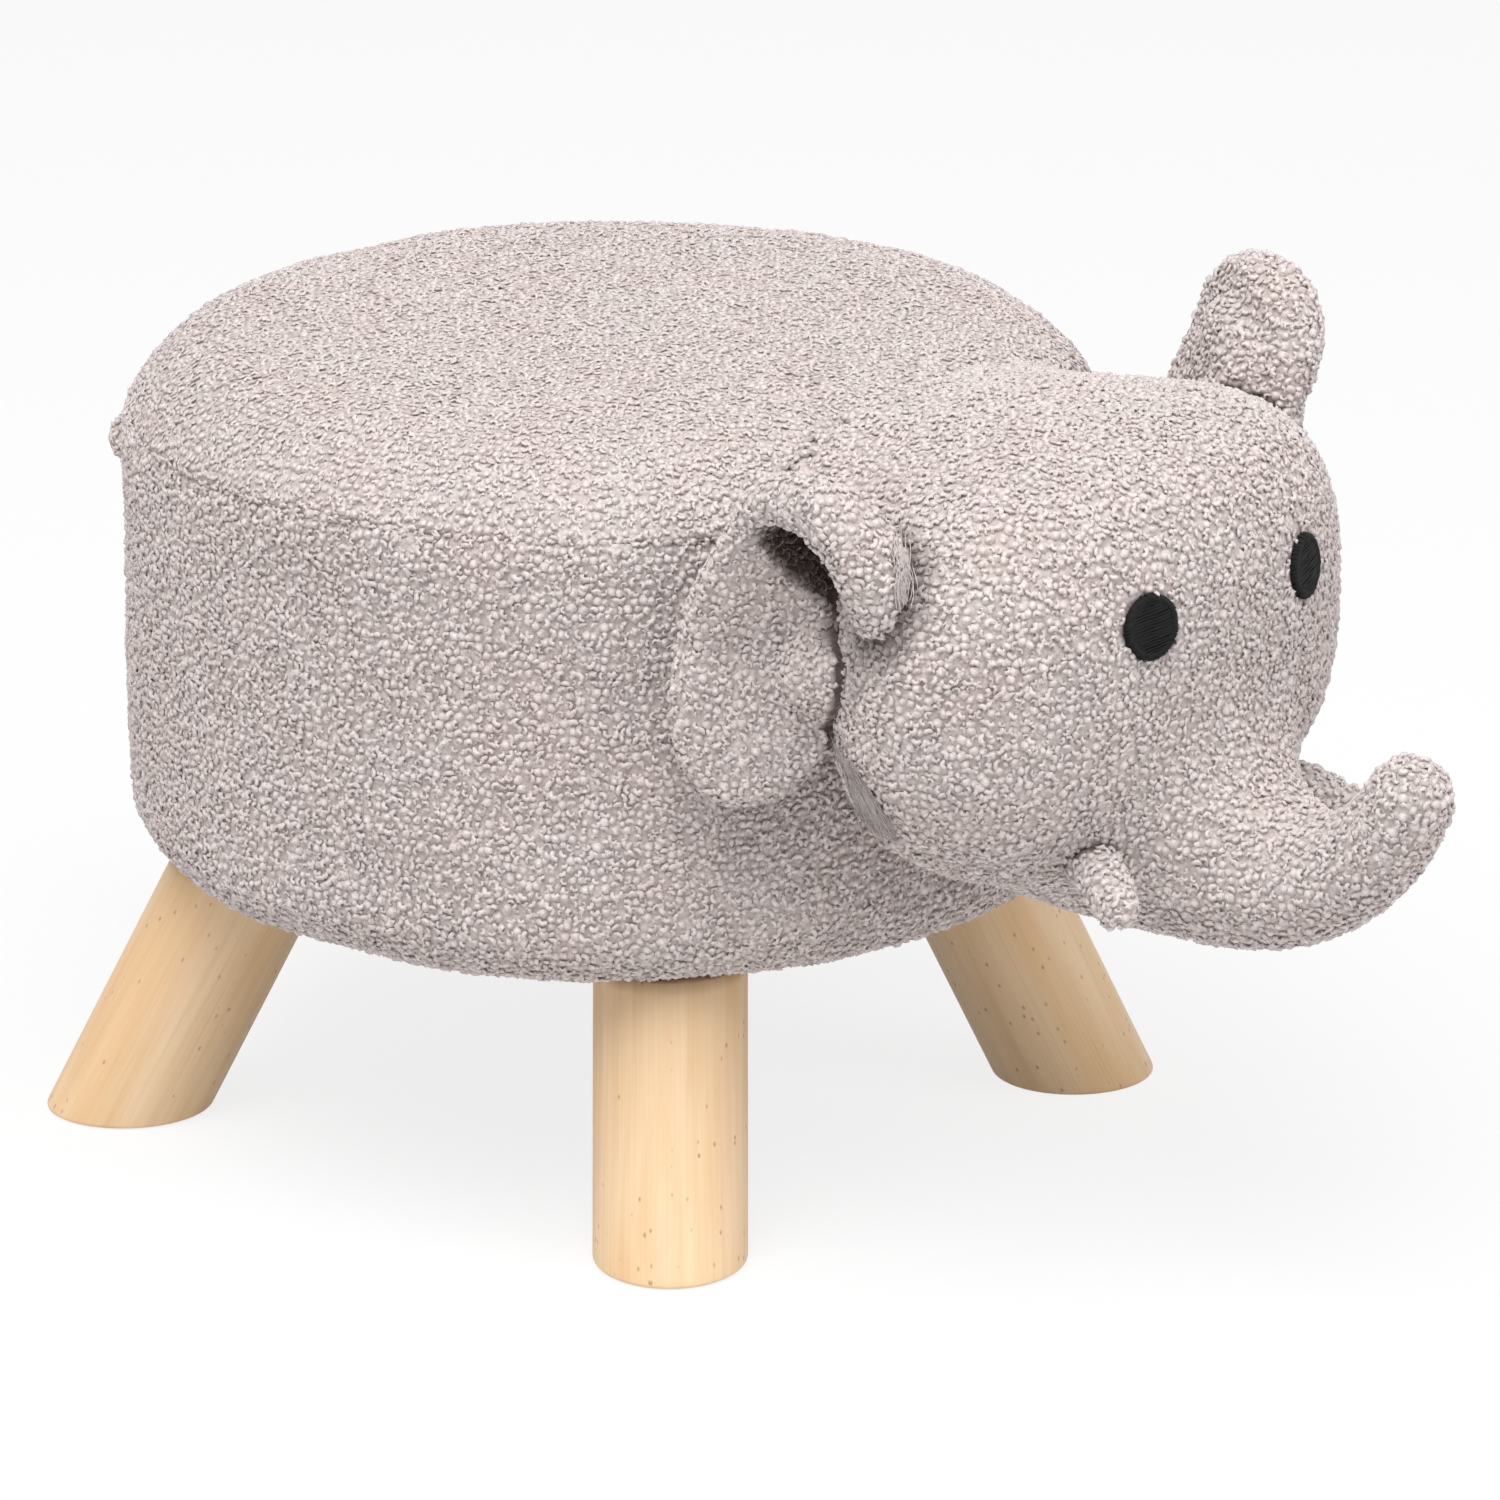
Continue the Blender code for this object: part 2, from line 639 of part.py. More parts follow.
def build_trunk(cloth, head_form):
    stations = [(*from_head(0, forward, height), radius) for forward, height, radius in TRUNK_STATIONS]
    trunk = add_object("trunk", limb("trunk", stations), cloth)
    cut(trunk, head_form)
    grown = [(x, y, z, radius + FIT_GAP) for x, y, z, radius in stations]
    return add_cutter("cut_trunk", limb("cut_trunk", grown))


def build_tusks(cloth, head_form, trunk_form):
    for side, sign in SIDES.items():
        stations = [(*from_head(sign * x, forward, height), r) for x, forward, height, r in TUSK_STATIONS]
        tusk = add_object(f"tusk_{side}", limb(f"tusk_{side}", stations), cloth)
        cut(tusk, head_form, trunk_form)


def build_tail(cloth, seat_form):
    stations = [
        (0, SEAT_RADIUS + backward, SEAT_TOP_HEIGHT + height, radius)
        for backward, height, radius in TAIL_STATIONS
    ]
    cut(add_object("tail", limb("tail", stations), cloth), seat_form)


def build_eyes(head_form):
    """Each eye is a raised round patch of stitches that follows the face."""
    thread = make_material("eye_thread", (0.012, 0.012, 0.014), 0.45)
    stitches = add_cutter("form_eye", head_mesh("form_eye", EYE_STITCH_HEIGHT), from_head(0, 0, 0))
    across = EYE_SIDEWAYS / HEAD_HALF_WIDTH
    forward = math.sqrt(1 - across**2)
    facing = Vector((across / HEAD_HALF_WIDTH, -forward / HEAD_HALF_DEPTH, 0)).normalized()
    for side, sign in SIDES.items():
        bm = bmesh.new()
        bmesh.ops.create_cone(
            bm,
            cap_ends=True,
            segments=EYE_SIDES,
            radius1=EYE_RADIUS,
            radius2=EYE_RADIUS,
            depth=2 * EYE_RADIUS,
        )
        normal = Vector((sign * facing.x, facing.y, 0))
        turn_to = Vector((0, 0, 1)).rotation_difference(normal).to_matrix()
        bmesh.ops.rotate(bm, verts=bm.verts, matrix=turn_to)
        place = from_head(sign * EYE_SIDEWAYS, HEAD_HALF_DEPTH * forward, EYE_RISE)
        eye = add_object(f"eye_{side}", mesh_from(f"eye_{side}", bm), thread, place)
        join_shape(eye, stitches, "INTERSECT")
        cut(eye, head_form)


def lobe_mesh(name, half_sizes, centre, lean, side, left_shift):
    """A flattened oval pad: half sizes along the ear's length, up it and through it."""
    forward, up = left_shift if side == "left" else (0.0, 0.0)
    bm = bmesh.new()
    bmesh.ops.create_uvsphere(bm, u_segments=LOBE_SIDES, v_segments=LOBE_RINGS, radius=1.0)
    bmesh.ops.scale(bm, vec=half_sizes, verts=bm.verts)
    upright = Matrix.Rotation(math.pi / 2, 4, "X")
    tipped = Matrix.Rotation(lean, 4, "Y")
    swept = Matrix.Rotation(EAR_SWEEP, 4, "Z")
    place = Matrix.Translation(from_head(centre[0], centre[1] + forward, centre[2] + up))
    mirrored = Matrix.Diagonal((SIDES[side], 1, 1, 1))
    bmesh.ops.transform(bm, matrix=mirrored @ place @ swept @ tipped @ upright, verts=bm.verts)
    return mesh_from(name, bm)


def build_ears(cloth, head_form, seat_form):
    flap = (EAR_FLAP_HALF_SIZES, EAR_FLAP_CENTRE, EAR_FLAP_LEAN)
    pleat = (EAR_PLEAT_HALF_SIZES, EAR_PLEAT_CENTRE, EAR_PLEAT_LEAN)
    for side in SIDES:
        ear = add_object(f"ear_{side}", lobe_mesh("ear_flap", *flap, side, LEFT_FLAP_SHIFT), cloth)
        pleat_mesh = lobe_mesh("ear_pleat", *pleat, side, LEFT_PLEAT_SHIFT)
        join_shape(ear, add_cutter(f"form_pleat_{side}", pleat_mesh), "UNION")
        cut(ear, head_form, seat_form)


def centre_on_footprint():
    """Moves the stool along Y, so that the origin is at the middle of its length."""
    bpy.context.view_layer.update()
    graph = bpy.context.evaluated_depsgraph_get()
    reach = []
    for obj in PARTS.objects:
        evaluated = obj.evaluated_get(graph)
        mesh = evaluated.to_mesh()
        points = np.empty(len(mesh.vertices) * 3)
        mesh.vertices.foreach_get("co", points)
        evaluated.to_mesh_clear()
        world = np.array(evaluated.matrix_world)
        along = points.reshape(-1, 3) @ world[1, :3] + world[1, 3]
        reach += [along.min(), along.max()]
    ROOT.location.y = -(min(reach) + max(reach)) / 2
    bpy.context.view_layer.update()
    print("the seat's axis is at Y =", round(ROOT.location.y, 5))


clear_scene()
PARTS = new_collection("elephant_footstool")
CUTTERS = new_collection("cutters")
ROOT = bpy.data.objects.new("stool_root", None)
bpy.context.scene.collection.objects.link(ROOT)

boucle, side_cover, dust_cover = build_seat_covers()
build_padding()
base_board = build_frame()
build_legs(base_board, side_cover, dust_cover)
seat_form = seat_clearance()
head_form = build_head(boucle, seat_form)
trunk_form = build_trunk(boucle, head_form)
build_tusks(boucle, head_form, trunk_form)
build_tail(boucle, seat_form)
build_eyes(head_form)
build_ears(boucle, head_form, seat_form)
centre_on_footprint()
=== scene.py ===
"""Looks of an elephant footstool: curly boucle cloth over a round padded seat, a stuffed head with a curled
trunk, ears, tusks and tail, embroidered eyes, and four splayed pine legs."""

import json
import math

import bpy
import numpy as np
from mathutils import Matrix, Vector, noise
from mathutils.bvhtree import BVHTree

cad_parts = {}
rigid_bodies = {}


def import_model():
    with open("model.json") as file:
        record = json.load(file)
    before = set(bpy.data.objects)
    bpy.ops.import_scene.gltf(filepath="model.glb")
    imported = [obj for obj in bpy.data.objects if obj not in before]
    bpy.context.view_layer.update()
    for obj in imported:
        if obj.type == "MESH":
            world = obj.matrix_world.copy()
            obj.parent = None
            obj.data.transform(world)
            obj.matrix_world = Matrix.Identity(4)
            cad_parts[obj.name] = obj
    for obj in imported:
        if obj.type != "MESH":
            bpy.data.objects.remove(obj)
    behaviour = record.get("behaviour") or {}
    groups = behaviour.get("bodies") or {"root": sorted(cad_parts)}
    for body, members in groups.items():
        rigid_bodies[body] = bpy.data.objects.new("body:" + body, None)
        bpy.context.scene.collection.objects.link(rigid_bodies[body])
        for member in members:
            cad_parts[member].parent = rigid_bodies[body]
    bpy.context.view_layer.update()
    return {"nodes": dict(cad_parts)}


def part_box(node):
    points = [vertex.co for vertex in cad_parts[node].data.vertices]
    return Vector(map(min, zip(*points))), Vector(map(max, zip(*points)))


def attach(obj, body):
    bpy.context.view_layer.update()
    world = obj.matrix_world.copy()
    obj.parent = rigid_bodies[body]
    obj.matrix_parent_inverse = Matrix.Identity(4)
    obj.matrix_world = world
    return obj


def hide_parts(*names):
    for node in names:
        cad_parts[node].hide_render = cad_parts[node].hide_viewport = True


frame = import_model()
NODES = frame["nodes"]

# Sizes of the seat, as the solids have them.
SEAT_AXIS_Y = (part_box("base_board")[0].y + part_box("base_board")[1].y) / 2
SEAT_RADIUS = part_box("seat_side_cover")[1].x
SEAT_TOP = 0.250
SEAT_BOTTOM = 0.0817
SEAT_CROWN = 0.003
SHOULDER_WIDTH = 0.044
SHOULDER_DROP = 0.035
ROLL_WIDTH = 0.028
ROLL_RISE = 0.024
SEAM_HEIGHT = 0.223
HEM_RADIUS = 0.0945
HEM_HEIGHT = 0.0828

# The cloth: its ground lies this far inside the form, and the curls of its pile fill the rest.
PILE_RISE = 0.0011
CLOTH_STEP = 0.0025
CURL_SPACING = 0.00200
CURL_SIZE = 0.00165
CURL_TILT = math.radians(24)
CURL_KINDS = 6
SAT_ON = 0.60  # share of their height that the curls of the seat's top keep

# How many tries the spreading of the curls makes for each square of their spacing
PILE_CROWD = 14.0

# Cloth that lies deeper than BURIED in its neighbour bears no pile, nor does cloth that faces it within PRESSED. All
# within SEWN_REACH of it is sewn down.
BURIED = 0.0012
PRESSED = 0.0016
SEWN_REACH = 0.0040

# The floor lies just under the feet.
FLOOR = -0.0003

EYE_SIDEWAYS = 0.0375
EYE_RISE = 0.0215
EYE_RADIUS = 0.0096


# Node trees


def put(tree, kind, fill=None, **settings):
    """A node with its settings, each input given a value or joined to another node's output."""
    node = tree.nodes.new(kind)
    for name, value in settings.items():
        setattr(node, name, value)
    feed(tree, node, fill or {})
    return node


def feed(tree, node, fill):
    for socket, value in fill.items():
        if isinstance(value, bpy.types.NodeSocket):
            tree.links.new(value, node.inputs[socket])
        else:
            node.inputs[socket].default_value = value


def calc(tree, operation, *values):
    return put(tree, "ShaderNodeMath", dict(enumerate(values)), operation=operation).outputs[0]


def stretch(tree, place, scales):
    return put(tree, "ShaderNodeVectorMath", {0: place, 1: scales}, operation="MULTIPLY").outputs[0]


def vector(tree, x, y, z):
    return put(tree, "ShaderNodeCombineXYZ", {0: x, 1: y, 2: z}).outputs[0]


def turn_by(tree, angles):
    return put(tree, "FunctionNodeEulerToRotation", {0: angles}).outputs[0]


def remap(tree, value, *ends):
    """The value, moved from between the first two ends to between the last two."""
    return put(tree, "ShaderNodeMapRange", {0: value, **dict(enumerate(ends, 1))}).outputs[0]


def clouds(tree, place, detail, scale=1.0):
    return put(tree, "ShaderNodeTexNoise", {"Vector": place, "Scale": scale, "Detail": detail}).outputs[0]


def number_between(tree, low, high, seed):
    return put(tree, "FunctionNodeRandomValue", {2: low, 3: high, 8: seed}, data_type="FLOAT").outputs[1]


def attribute(tree, name, output="Fac"):
    return put(tree, "ShaderNodeAttribute", attribute_name=name).outputs[output]


def geometry_tree(name, **inputs):
    """An empty Geometry Nodes tree with named inputs, and the outputs that give the mesh and them."""
    tree = bpy.data.node_groups.new(name, "GeometryNodeTree")
    tree.interface.new_socket("Geometry", in_out="INPUT", socket_type="NodeSocketGeometry")
    for key, kind in inputs.items():
        tree.interface.new_socket(key.replace("_", " "), in_out="INPUT", socket_type="NodeSocket" + kind)
    tree.interface.new_socket("Geometry", in_out="OUTPUT", socket_type="NodeSocketGeometry")
    return tree, tree.nodes.new("NodeGroupInput").outputs[: len(inputs) + 1]


def finish_tree(tree, cloth, *parts):
    """The parts together, as one real mesh in one material, are what the tree makes."""
    both = tree.nodes.new("GeometryNodeJoinGeometry")
    for part in parts:
        tree.links.new(part, both.inputs[0])
    real = put(tree, "GeometryNodeRealizeInstances", {"Geometry": both.outputs[0]})
    worn = put(tree, "GeometryNodeSetMaterial", {"Geometry": real.outputs[0], "Material": cloth})
    put(tree, "NodeGroupOutput", {"Geometry": worn.outputs[0]})


def run_tree(obj, tree, **values):
    """The object's mesh becomes what the tree makes of it."""
    modifier = obj.modifiers.new("made", "NODES")
    modifier.node_group = tree
    for item in tree.interface.items_tree:
        key = item.name.replace(" ", "_")
        if item.in_out == "INPUT" and key in values:
            modifier[item.identifier] = values[key]
    seen = obj.evaluated_get(bpy.context.evaluated_depsgraph_get())
    made = bpy.data.meshes.new_from_object(seen)
    obj.modifiers.clear()
    old, obj.data = obj.data, made
    bpy.data.meshes.remove(old)
    made.name = obj.name


# Forms built up from distances to simple shapes


def smooth_union(a, b, reach):
    share = np.clip(0.5 + 0.5 * (b - a) / reach, 0, 1)
    return b + (a - b) * share - reach * share * (1 - share)


def smooth_cut(body, cutter, reach):
    return -smooth_union(-body, cutter, reach)


def grid(low, high, step):
    axes = [np.arange(a, b + step, step) for a, b in zip(low, high)]
    return np.stack(np.meshgrid(*axes, indexing="ij"), axis=-1)


def oval(points, centre, sizes):
    """Rough distance to an ellipsoid, in the axes that the points are given in."""
    away = points - np.array(centre)
    sizes = np.array(sizes)
    near = np.linalg.norm(away / sizes, axis=-1)
    steep = np.linalg.norm(away / sizes**2, axis=-1)
    return near * (near - 1) / np.maximum(steep, 1e-6)


def tube(points, stations):
    """Distance to a tapering round tube along its stations, each (x, y, z, radius)."""
    found = np.full(points.shape[:-1], 1e3)
    for start, end in zip(stations[:-1], stations[1:]):
        along = end[:3] - start[:3]
        away = points - start[:3]
        share = np.clip((away @ along) / (along @ along), 0, 1)
        off = np.linalg.norm(away - share[..., None] * along, axis=-1)
        found = np.minimum(found, off - start[3] - share * (end[3] - start[3]))
    return found


def spline(rows, spans):
    """Points on a smooth curve through the rows."""
    rows = np.array(rows, float)
    ends = np.vstack([2 * rows[0] - rows[1], rows, 2 * rows[-1] - rows[-2]])
    found = []
    for i in range(1, len(ends) - 2):
        p0, p1, p2, p3 = ends[i - 1 : i + 3]
        for t in np.linspace(0, 1, spans, endpoint=False):
            bend = (2 * p0 - 5 * p1 + 4 * p2 - p3) * t**2 + (3 * p1 - p0 - 3 * p2 + p3) * t**3
            found.append(0.5 * (2 * p1 + (p2 - p0) * t + bend))
    return np.array(found + [rows[-1]])


def seat_distance(points):
    """Rough distance to the seat's outer form."""
    out = np.hypot(points[..., 0], points[..., 1] - SEAT_AXIS_Y)
    up = points[..., 2]
    top = np.hypot(np.maximum(out - SEAT_RADIUS + SHOULDER_WIDTH, 0) / SHOULDER_WIDTH,
                   np.maximum(up - SEAT_TOP + SHOULDER_DROP, 0) / SHOULDER_DROP)
    low = np.hypot(np.maximum(out - SEAT_RADIUS + ROLL_WIDTH, 0) / ROLL_WIDTH,
                   np.maximum(SEAT_BOTTOM + ROLL_RISE - up, 0) / ROLL_RISE)
    return np.maximum((top - 1) * SHOULDER_DROP, (low - 1) * ROLL_RISE)


CORNERS = np.array([(i, j, k) for i in (0, 1) for j in (0, 1) for k in (0, 1)])
CELL_EDGES = [(a, b) for a in range(8) for b in range(a + 1, 8) if np.abs(CORNERS[a] - CORNERS[b]).sum() == 1]


def skin(distance, low, step):
    """Points and quads of the surface where a grid of distances is nought; distances are negative inside."""
    inside = distance < 0
    mixed = np.zeros(np.array(distance.shape) - 1, bool)
    first = inside[:-1, :-1, :-1]
    cut = [slice(0, -1), slice(1, None)]
    for i, j, k in CORNERS:
        mixed |= inside[cut[i], cut[j], cut[k]] != first
    cells = np.argwhere(mixed)
    number = np.full(mixed.shape, -1)
    number[mixed] = np.arange(len(cells))
    values = np.stack([distance[tuple((cells + c).T)] for c in CORNERS], axis=1)
    total, count = np.zeros((len(cells), 3)), np.zeros(len(cells))
    for a, b in CELL_EDGES:
        va, vb = values[:, a], values[:, b]
        crossing = (va < 0) != (vb < 0)
        t = np.where(crossing, va / np.where(crossing, va - vb, 1), 0)
        total += crossing[:, None] * (CORNERS[a] + t[:, None] * (CORNERS[b] - CORNERS[a]))
        count += crossing
    points = np.array(low) + (cells + total / count[:, None]) * step
    faces = []
    for axis in range(3):
        ahead, behind = [slice(None)] * 3, [slice(None)] * 3
        ahead[axis], behind[axis] = slice(1, None), slice(0, -1)
        change = np.argwhere(inside[tuple(ahead)] != inside[tuple(behind)])
        going_out = inside[tuple(behind)][tuple(change.T)]
        u, v = [np.eye(3, dtype=int)[(axis + n) % 3] for n in (1, 2)]
        quad = np.stack([number[tuple((change - s).T)] for s in (u + v, v, 0 * u, u)], axis=1)
        quad[~going_out] = quad[~going_out][:, ::-1]
        faces.append(quad)
    return points, np.concatenate(faces)


def relax(points, faces, rounds=2, share=0.5):
    """Evens the points out over the surface."""
    pairs = np.concatenate([faces[:, [0, 1]], faces[:, [1, 2]], faces[:, [2, 3]], faces[:, [3, 0]]])
    for _ in range(rounds):
        total, count = np.zeros_like(points), np.zeros(len(points))
        np.add.at(total, pairs[:, 0], points[pairs[:, 1]])
        np.add.at(count, pairs[:, 0], 1)
        points = points + share * (total / np.maximum(count, 1)[:, None] - points)
    return points


def mesh_object(name, points, faces, smooth=True, linked=True):
    mesh = bpy.data.meshes.new(name)
    mesh.from_pydata([tuple(p) for p in points], [], [tuple(int(i) for i in f) for f in faces])
    mesh.update()
    if smooth:
        mesh.shade_smooth()
    obj = bpy.data.objects.new(name, mesh)
    if linked:
        bpy.context.scene.collection.objects.link(obj)
    return obj


def ring_round(radius, angles, across, over):
    """Points of a ring about nought, in the plane of two unit vectors."""
    return radius * (np.cos(angles)[:, None] * across + np.sin(angles)[:, None] * over)


def rings_between_poles(count, sides):
    """Faces over rings of points that start and end in one point."""
    faces, last = [], 1 + count * sides
    for s in range(sides):
        t = (s + 1) % sides
        faces.append((0, 1 + t, 1 + s))
        for i in range(count - 1):
            a, b = 1 + i * sides, 1 + (i + 1) * sides
            faces.append((a + s, a + t, b + t, b + s))
        faces.append((last, last - sides + s, last - sides + t))
    return faces


def turned_over(faces):
    return [f[:1] + f[:0:-1] for f in faces]


def form_object(name, distance_at, low, high, step=CLOTH_STEP):
    points, faces = skin(distance_at(grid(low, high, step)), low, step)
    return mesh_object(name, relax(points, faces), faces)


# The stuffing: it presses the cloth out between the places where it is sewn down


STUFFING_PRESSURE = 4.0
STUFFING_FRAMES = 20


def read_points(mesh, what="co"):
    rows = np.empty(len(mesh.vertices) * 3)
    mesh.vertices.foreach_get(what, rows)
    return rows.reshape(-1, 3)


def mark(obj, name, values):
    """Keeps a number for each point of the object."""
    made = obj.data.attributes.new(name, "FLOAT", "POINT")
    made.data.foreach_set("value", np.asarray(values, np.float32))


def stuff(obj, sewn, most, sink):
    """Blender's cloth under pressure, held where sewn says. No point moves further than the most or sinks deeper
    than sink, and the form as a whole keeps the size that it was drawn at."""
    mesh = obj.data
    start, facing = read_points(mesh), read_points(mesh, "normal")
    group = obj.vertex_groups.new(name="sewn")
    group.add([int(i) for i in np.flatnonzero(sewn)], 1.0, "REPLACE")
    cloth = obj.modifiers.new("stuffed", "CLOTH")
    cloth.settings.vertex_group_mass = "sewn"
    cloth.settings.use_pressure = True
    cloth.settings.uniform_pressure_force = STUFFING_PRESSURE
    cloth.settings.effector_weights.gravity = 0.0
    for number in range(1, STUFFING_FRAMES + 1):
        bpy.context.scene.frame_set(number)
    seen = obj.evaluated_get(bpy.context.evaluated_depsgraph_get())
    move = read_points(seen.data) - start
    obj.modifiers.clear()
    obj.vertex_groups.clear()
    bpy.context.scene.frame_set(1)
    size = np.linalg.norm(move, axis=1)
    move *= (most * np.tanh(size / most) / np.maximum(size, 1e-9))[:, None]
    edges = np.empty(len(mesh.edges) * 2, np.int64)
    mesh.edges.foreach_get("vertices", edges)
    ones, others = edges.reshape(-1, 2).T
    free = np.where(sewn, 0.0, 1.0)
    for _ in range(8):
        total = np.bincount(ones, free[others], len(free)) + np.bincount(others, free[ones], len(free))
        count = np.bincount(ones, minlength=len(free)) + np.bincount(others, minlength=len(free))
        free = np.where(sewn, 0.0, total / np.maximum(count, 1))
    swell = np.einsum("ij,ij->i", move, facing)
    swell = swell[free > 0.9].mean() if (free > 0.9).any() else 0.0
    move -= (swell * free)[:, None] * facing
    rise = np.einsum("ij,ij->i", move, facing)
    move += np.maximum(-sink - rise, 0)[:, None] * facing
    start += move
    mesh.vertices.foreach_set("co", start.ravel())
    mesh.update()
    return obj


# The pile: short curls of yarn standing close together on the cloth's ground


def strand(line, thickness, turn=0.0, sides=3):
    """A closed strand along a line, drawn to a point at both ends."""
    line = np.array(line, float)
    ahead = np.gradient(line, axis=0)
    ahead /= np.linalg.norm(ahead, axis=1)[:, None]
    across = np.cross(ahead, (0.13, 0.21, 1.0))
    across /= np.linalg.norm(across, axis=1)[:, None]
    upward = np.cross(across, ahead)
    angles = turn + np.arange(sides) * 2 * math.pi / sides
    rings = [line[i] + ring_round(thickness, angles, across[i], upward[i]) for i in range(1, len(line) - 1)]
    points = np.concatenate([[line[0]], *rings, [line[-1]]])
    count, last = len(rings), len(points) - 1
    faces = []
    for k in range(sides):
        j = (k + 1) % sides
        faces.append((0, 1 + j, 1 + k))
        faces.append((last, last - sides + k, last - sides + j))
        for i in range(count - 1):
            a, b = 1 + sides * i, 1 + sides * (i + 1)
            faces += [(a + k, a + j, b + j), (a + k, b + j, b + k)]
    a, b, c = (points[np.array(faces)[:, n]] for n in range(3))
    if np.einsum("ij,ij->i", a, np.cross(b, c)).sum() < 0:
        faces = [f[::-1] for f in faces]
    return points, faces


def nub(chance, sides=5):
    """A closed knob of curled-up yarn, in shares of its half width: uneven, and a little taller on one side."""
    rows = ((0.78, -0.40), (0.98, 0.12), (0.62, 0.50))
    turn, lean = chance.uniform(0, 6.28), chance.uniform(0.02, 0.14)
    points = []
    for level, (radius, height) in enumerate(rows):
        for k in range(sides):
            angle = turn + (k + 0.5 * (level % 2)) * 2 * math.pi / sides
            away = radius * chance.uniform(0.84, 1.14)
            rise = height + lean * math.cos(angle) * level + chance.uniform(-0.05, 0.05)
            points.append((away * math.cos(angle), away * math.sin(angle), rise))
    points.append((chance.uniform(-0.12, 0.12), chance.uniform(-0.12, 0.12), 0.56 + chance.uniform(0, 0.12)))
    faces = [tuple(range(sides))[::-1]]
    for level in range(2):
        for k in range(sides):
            j = (k + 1) % sides
            a, b, c, d = (sides * level + k, sides * level + j, sides * (level + 1) + k, sides * (level + 1) + j)
            faces += [(a, b, c), (b, d, c)]
    faces += [(2 * sides + k, 2 * sides + (k + 1) % sides, 3 * sides) for k in range(sides)]
    return np.array(points), faces


def loop(start, end, radius, lift, thickness, stations=6):
    """A loop of yarn lying on the cloth, that climbs from its roots to its middle."""
    t = np.linspace(0, 1, stations)
    angle = np.radians(start + (end - start) * t)
    climb = lift + 0.26 * np.sin(math.pi * t) ** 0.6
    line = np.stack([radius * np.cos(angle), radius * np.sin(angle), climb], axis=1)
    return strand(line, thickness, start)


def curl_shapes():
    """A few different knobs and loops of yarn, kept in a collection for the tree to pick from."""
    chance = np.random.default_rng(12)
    shapes = [nub(chance), nub(chance), loop(-125, 130, 0.60, 0.02, 0.50), loop(0, 240, 0.56, 0.06, 0.52),
              loop(-60, 150, 0.70, 0.0, 0.46), loop(20, 290, 0.62, 0.04, 0.46)]
    shelf = bpy.data.collections.new("curls")
    for number, (points, faces) in enumerate(shapes):
        curl = mesh_object(f"curl_{number}", points, faces, linked=False)
        mark(curl, "rise", np.clip((points[:, 2] + 0.10) / 0.75, 0.05, 1))
        mark(curl, "pile", np.ones(len(points)))
        shelf.objects.link(curl)
    return shelf


def pile_tree():
    """Curls of random kind, turn and lean, spread evenly over the ground wherever it bears pile."""
    tree, given = geometry_tree("curly pile", Curls="Collection", Spacing="Float", Size="Float", Height="Float",
                                Lean="Float", Seed="Int", Cloth="Material")
    ground, curls, spacing, size, height, lean, seed, cloth = given
    bears = put(tree, "GeometryNodeInputNamedAttribute", {"Name": "pile"}, data_type="FLOAT").outputs[0]
    crowd = calc(tree, "DIVIDE", calc(tree, "DIVIDE", PILE_CROWD, spacing), spacing)
    near = {"Mesh": ground, "Distance Min": spacing, "Density Max": crowd, "Density Factor": bears, "Seed": seed}
    spread = put(tree, "GeometryNodeDistributePointsOnFaces", near, distribute_method="POISSON").outputs
    low = calc(tree, "MULTIPLY", lean, -1.0)
    ends = {0: vector(tree, low, low, 0.0), 1: vector(tree, lean, lean, 2 * math.pi), 8: seed}
    turn = turn_by(tree, put(tree, "FunctionNodeRandomValue", ends, data_type="FLOAT_VECTOR").outputs[0])
    turn = put(tree, "FunctionNodeRotateRotation", {0: spread["Rotation"], 1: turn}, rotation_space="LOCAL").outputs[0]
    wide = calc(tree, "MULTIPLY", number_between(tree, 0.80, 1.20, 7), size)
    scale = vector(tree, wide, wide, calc(tree, "MULTIPLY", wide, height))
    kinds = put(tree, "GeometryNodeCollectionInfo", {0: curls, 1: True, 2: True}).outputs[0]
    kind = put(tree, "FunctionNodeRandomValue", {4: 0, 5: CURL_KINDS - 1, 8: 11}, data_type="INT").outputs[2]
    places = {"Points": spread["Points"], "Instance": kinds, "Pick Instance": True, "Instance Index": kind,
              "Rotation": turn, "Scale": scale}
    placed = put(tree, "GeometryNodeInstanceOnPoints", places).outputs[0]
    tone = {"Geometry": placed, "Name": "tone", "Value": number_between(tree, 0.0, 1.0, 3)}
    toned = put(tree, "GeometryNodeStoreNamedAttribute", tone, data_type="FLOAT", domain="INSTANCE").outputs[0]
    finish_tree(tree, cloth, toned, ground)
    return tree


# The head, trunk, tusks and tail


HEAD_CENTRE = np.array((0.0, SEAT_AXIS_Y - 0.1815, 0.1855))
HEAD_SIZES = np.array((0.1005, 0.0555, 0.0682))


def head_distance(points):
    away = (points - HEAD_CENTRE) / HEAD_SIZES
    flat = np.hypot(away[..., 0], away[..., 1])
    rise = np.abs(away[..., 2])
    power = np.where(away[..., 2] > 0, 2.95, 2.55)
    near = (flat**power + rise**power) ** (1 / power)
    return (near - 1) * 0.060


# How far forward and up from the head's centre the trunk's line runs, and its radius there
TRUNK_LINE = [(0.0030, -0.0455, 0.0350), (0.0310, -0.0490, 0.0345), (0.0580, -0.0565, 0.0270),
              (0.0800, -0.0570, 0.0200), (0.0980, -0.0485, 0.0160), (0.1090, -0.0365, 0.0145),
              (0.1150, -0.0260, 0.0132)]

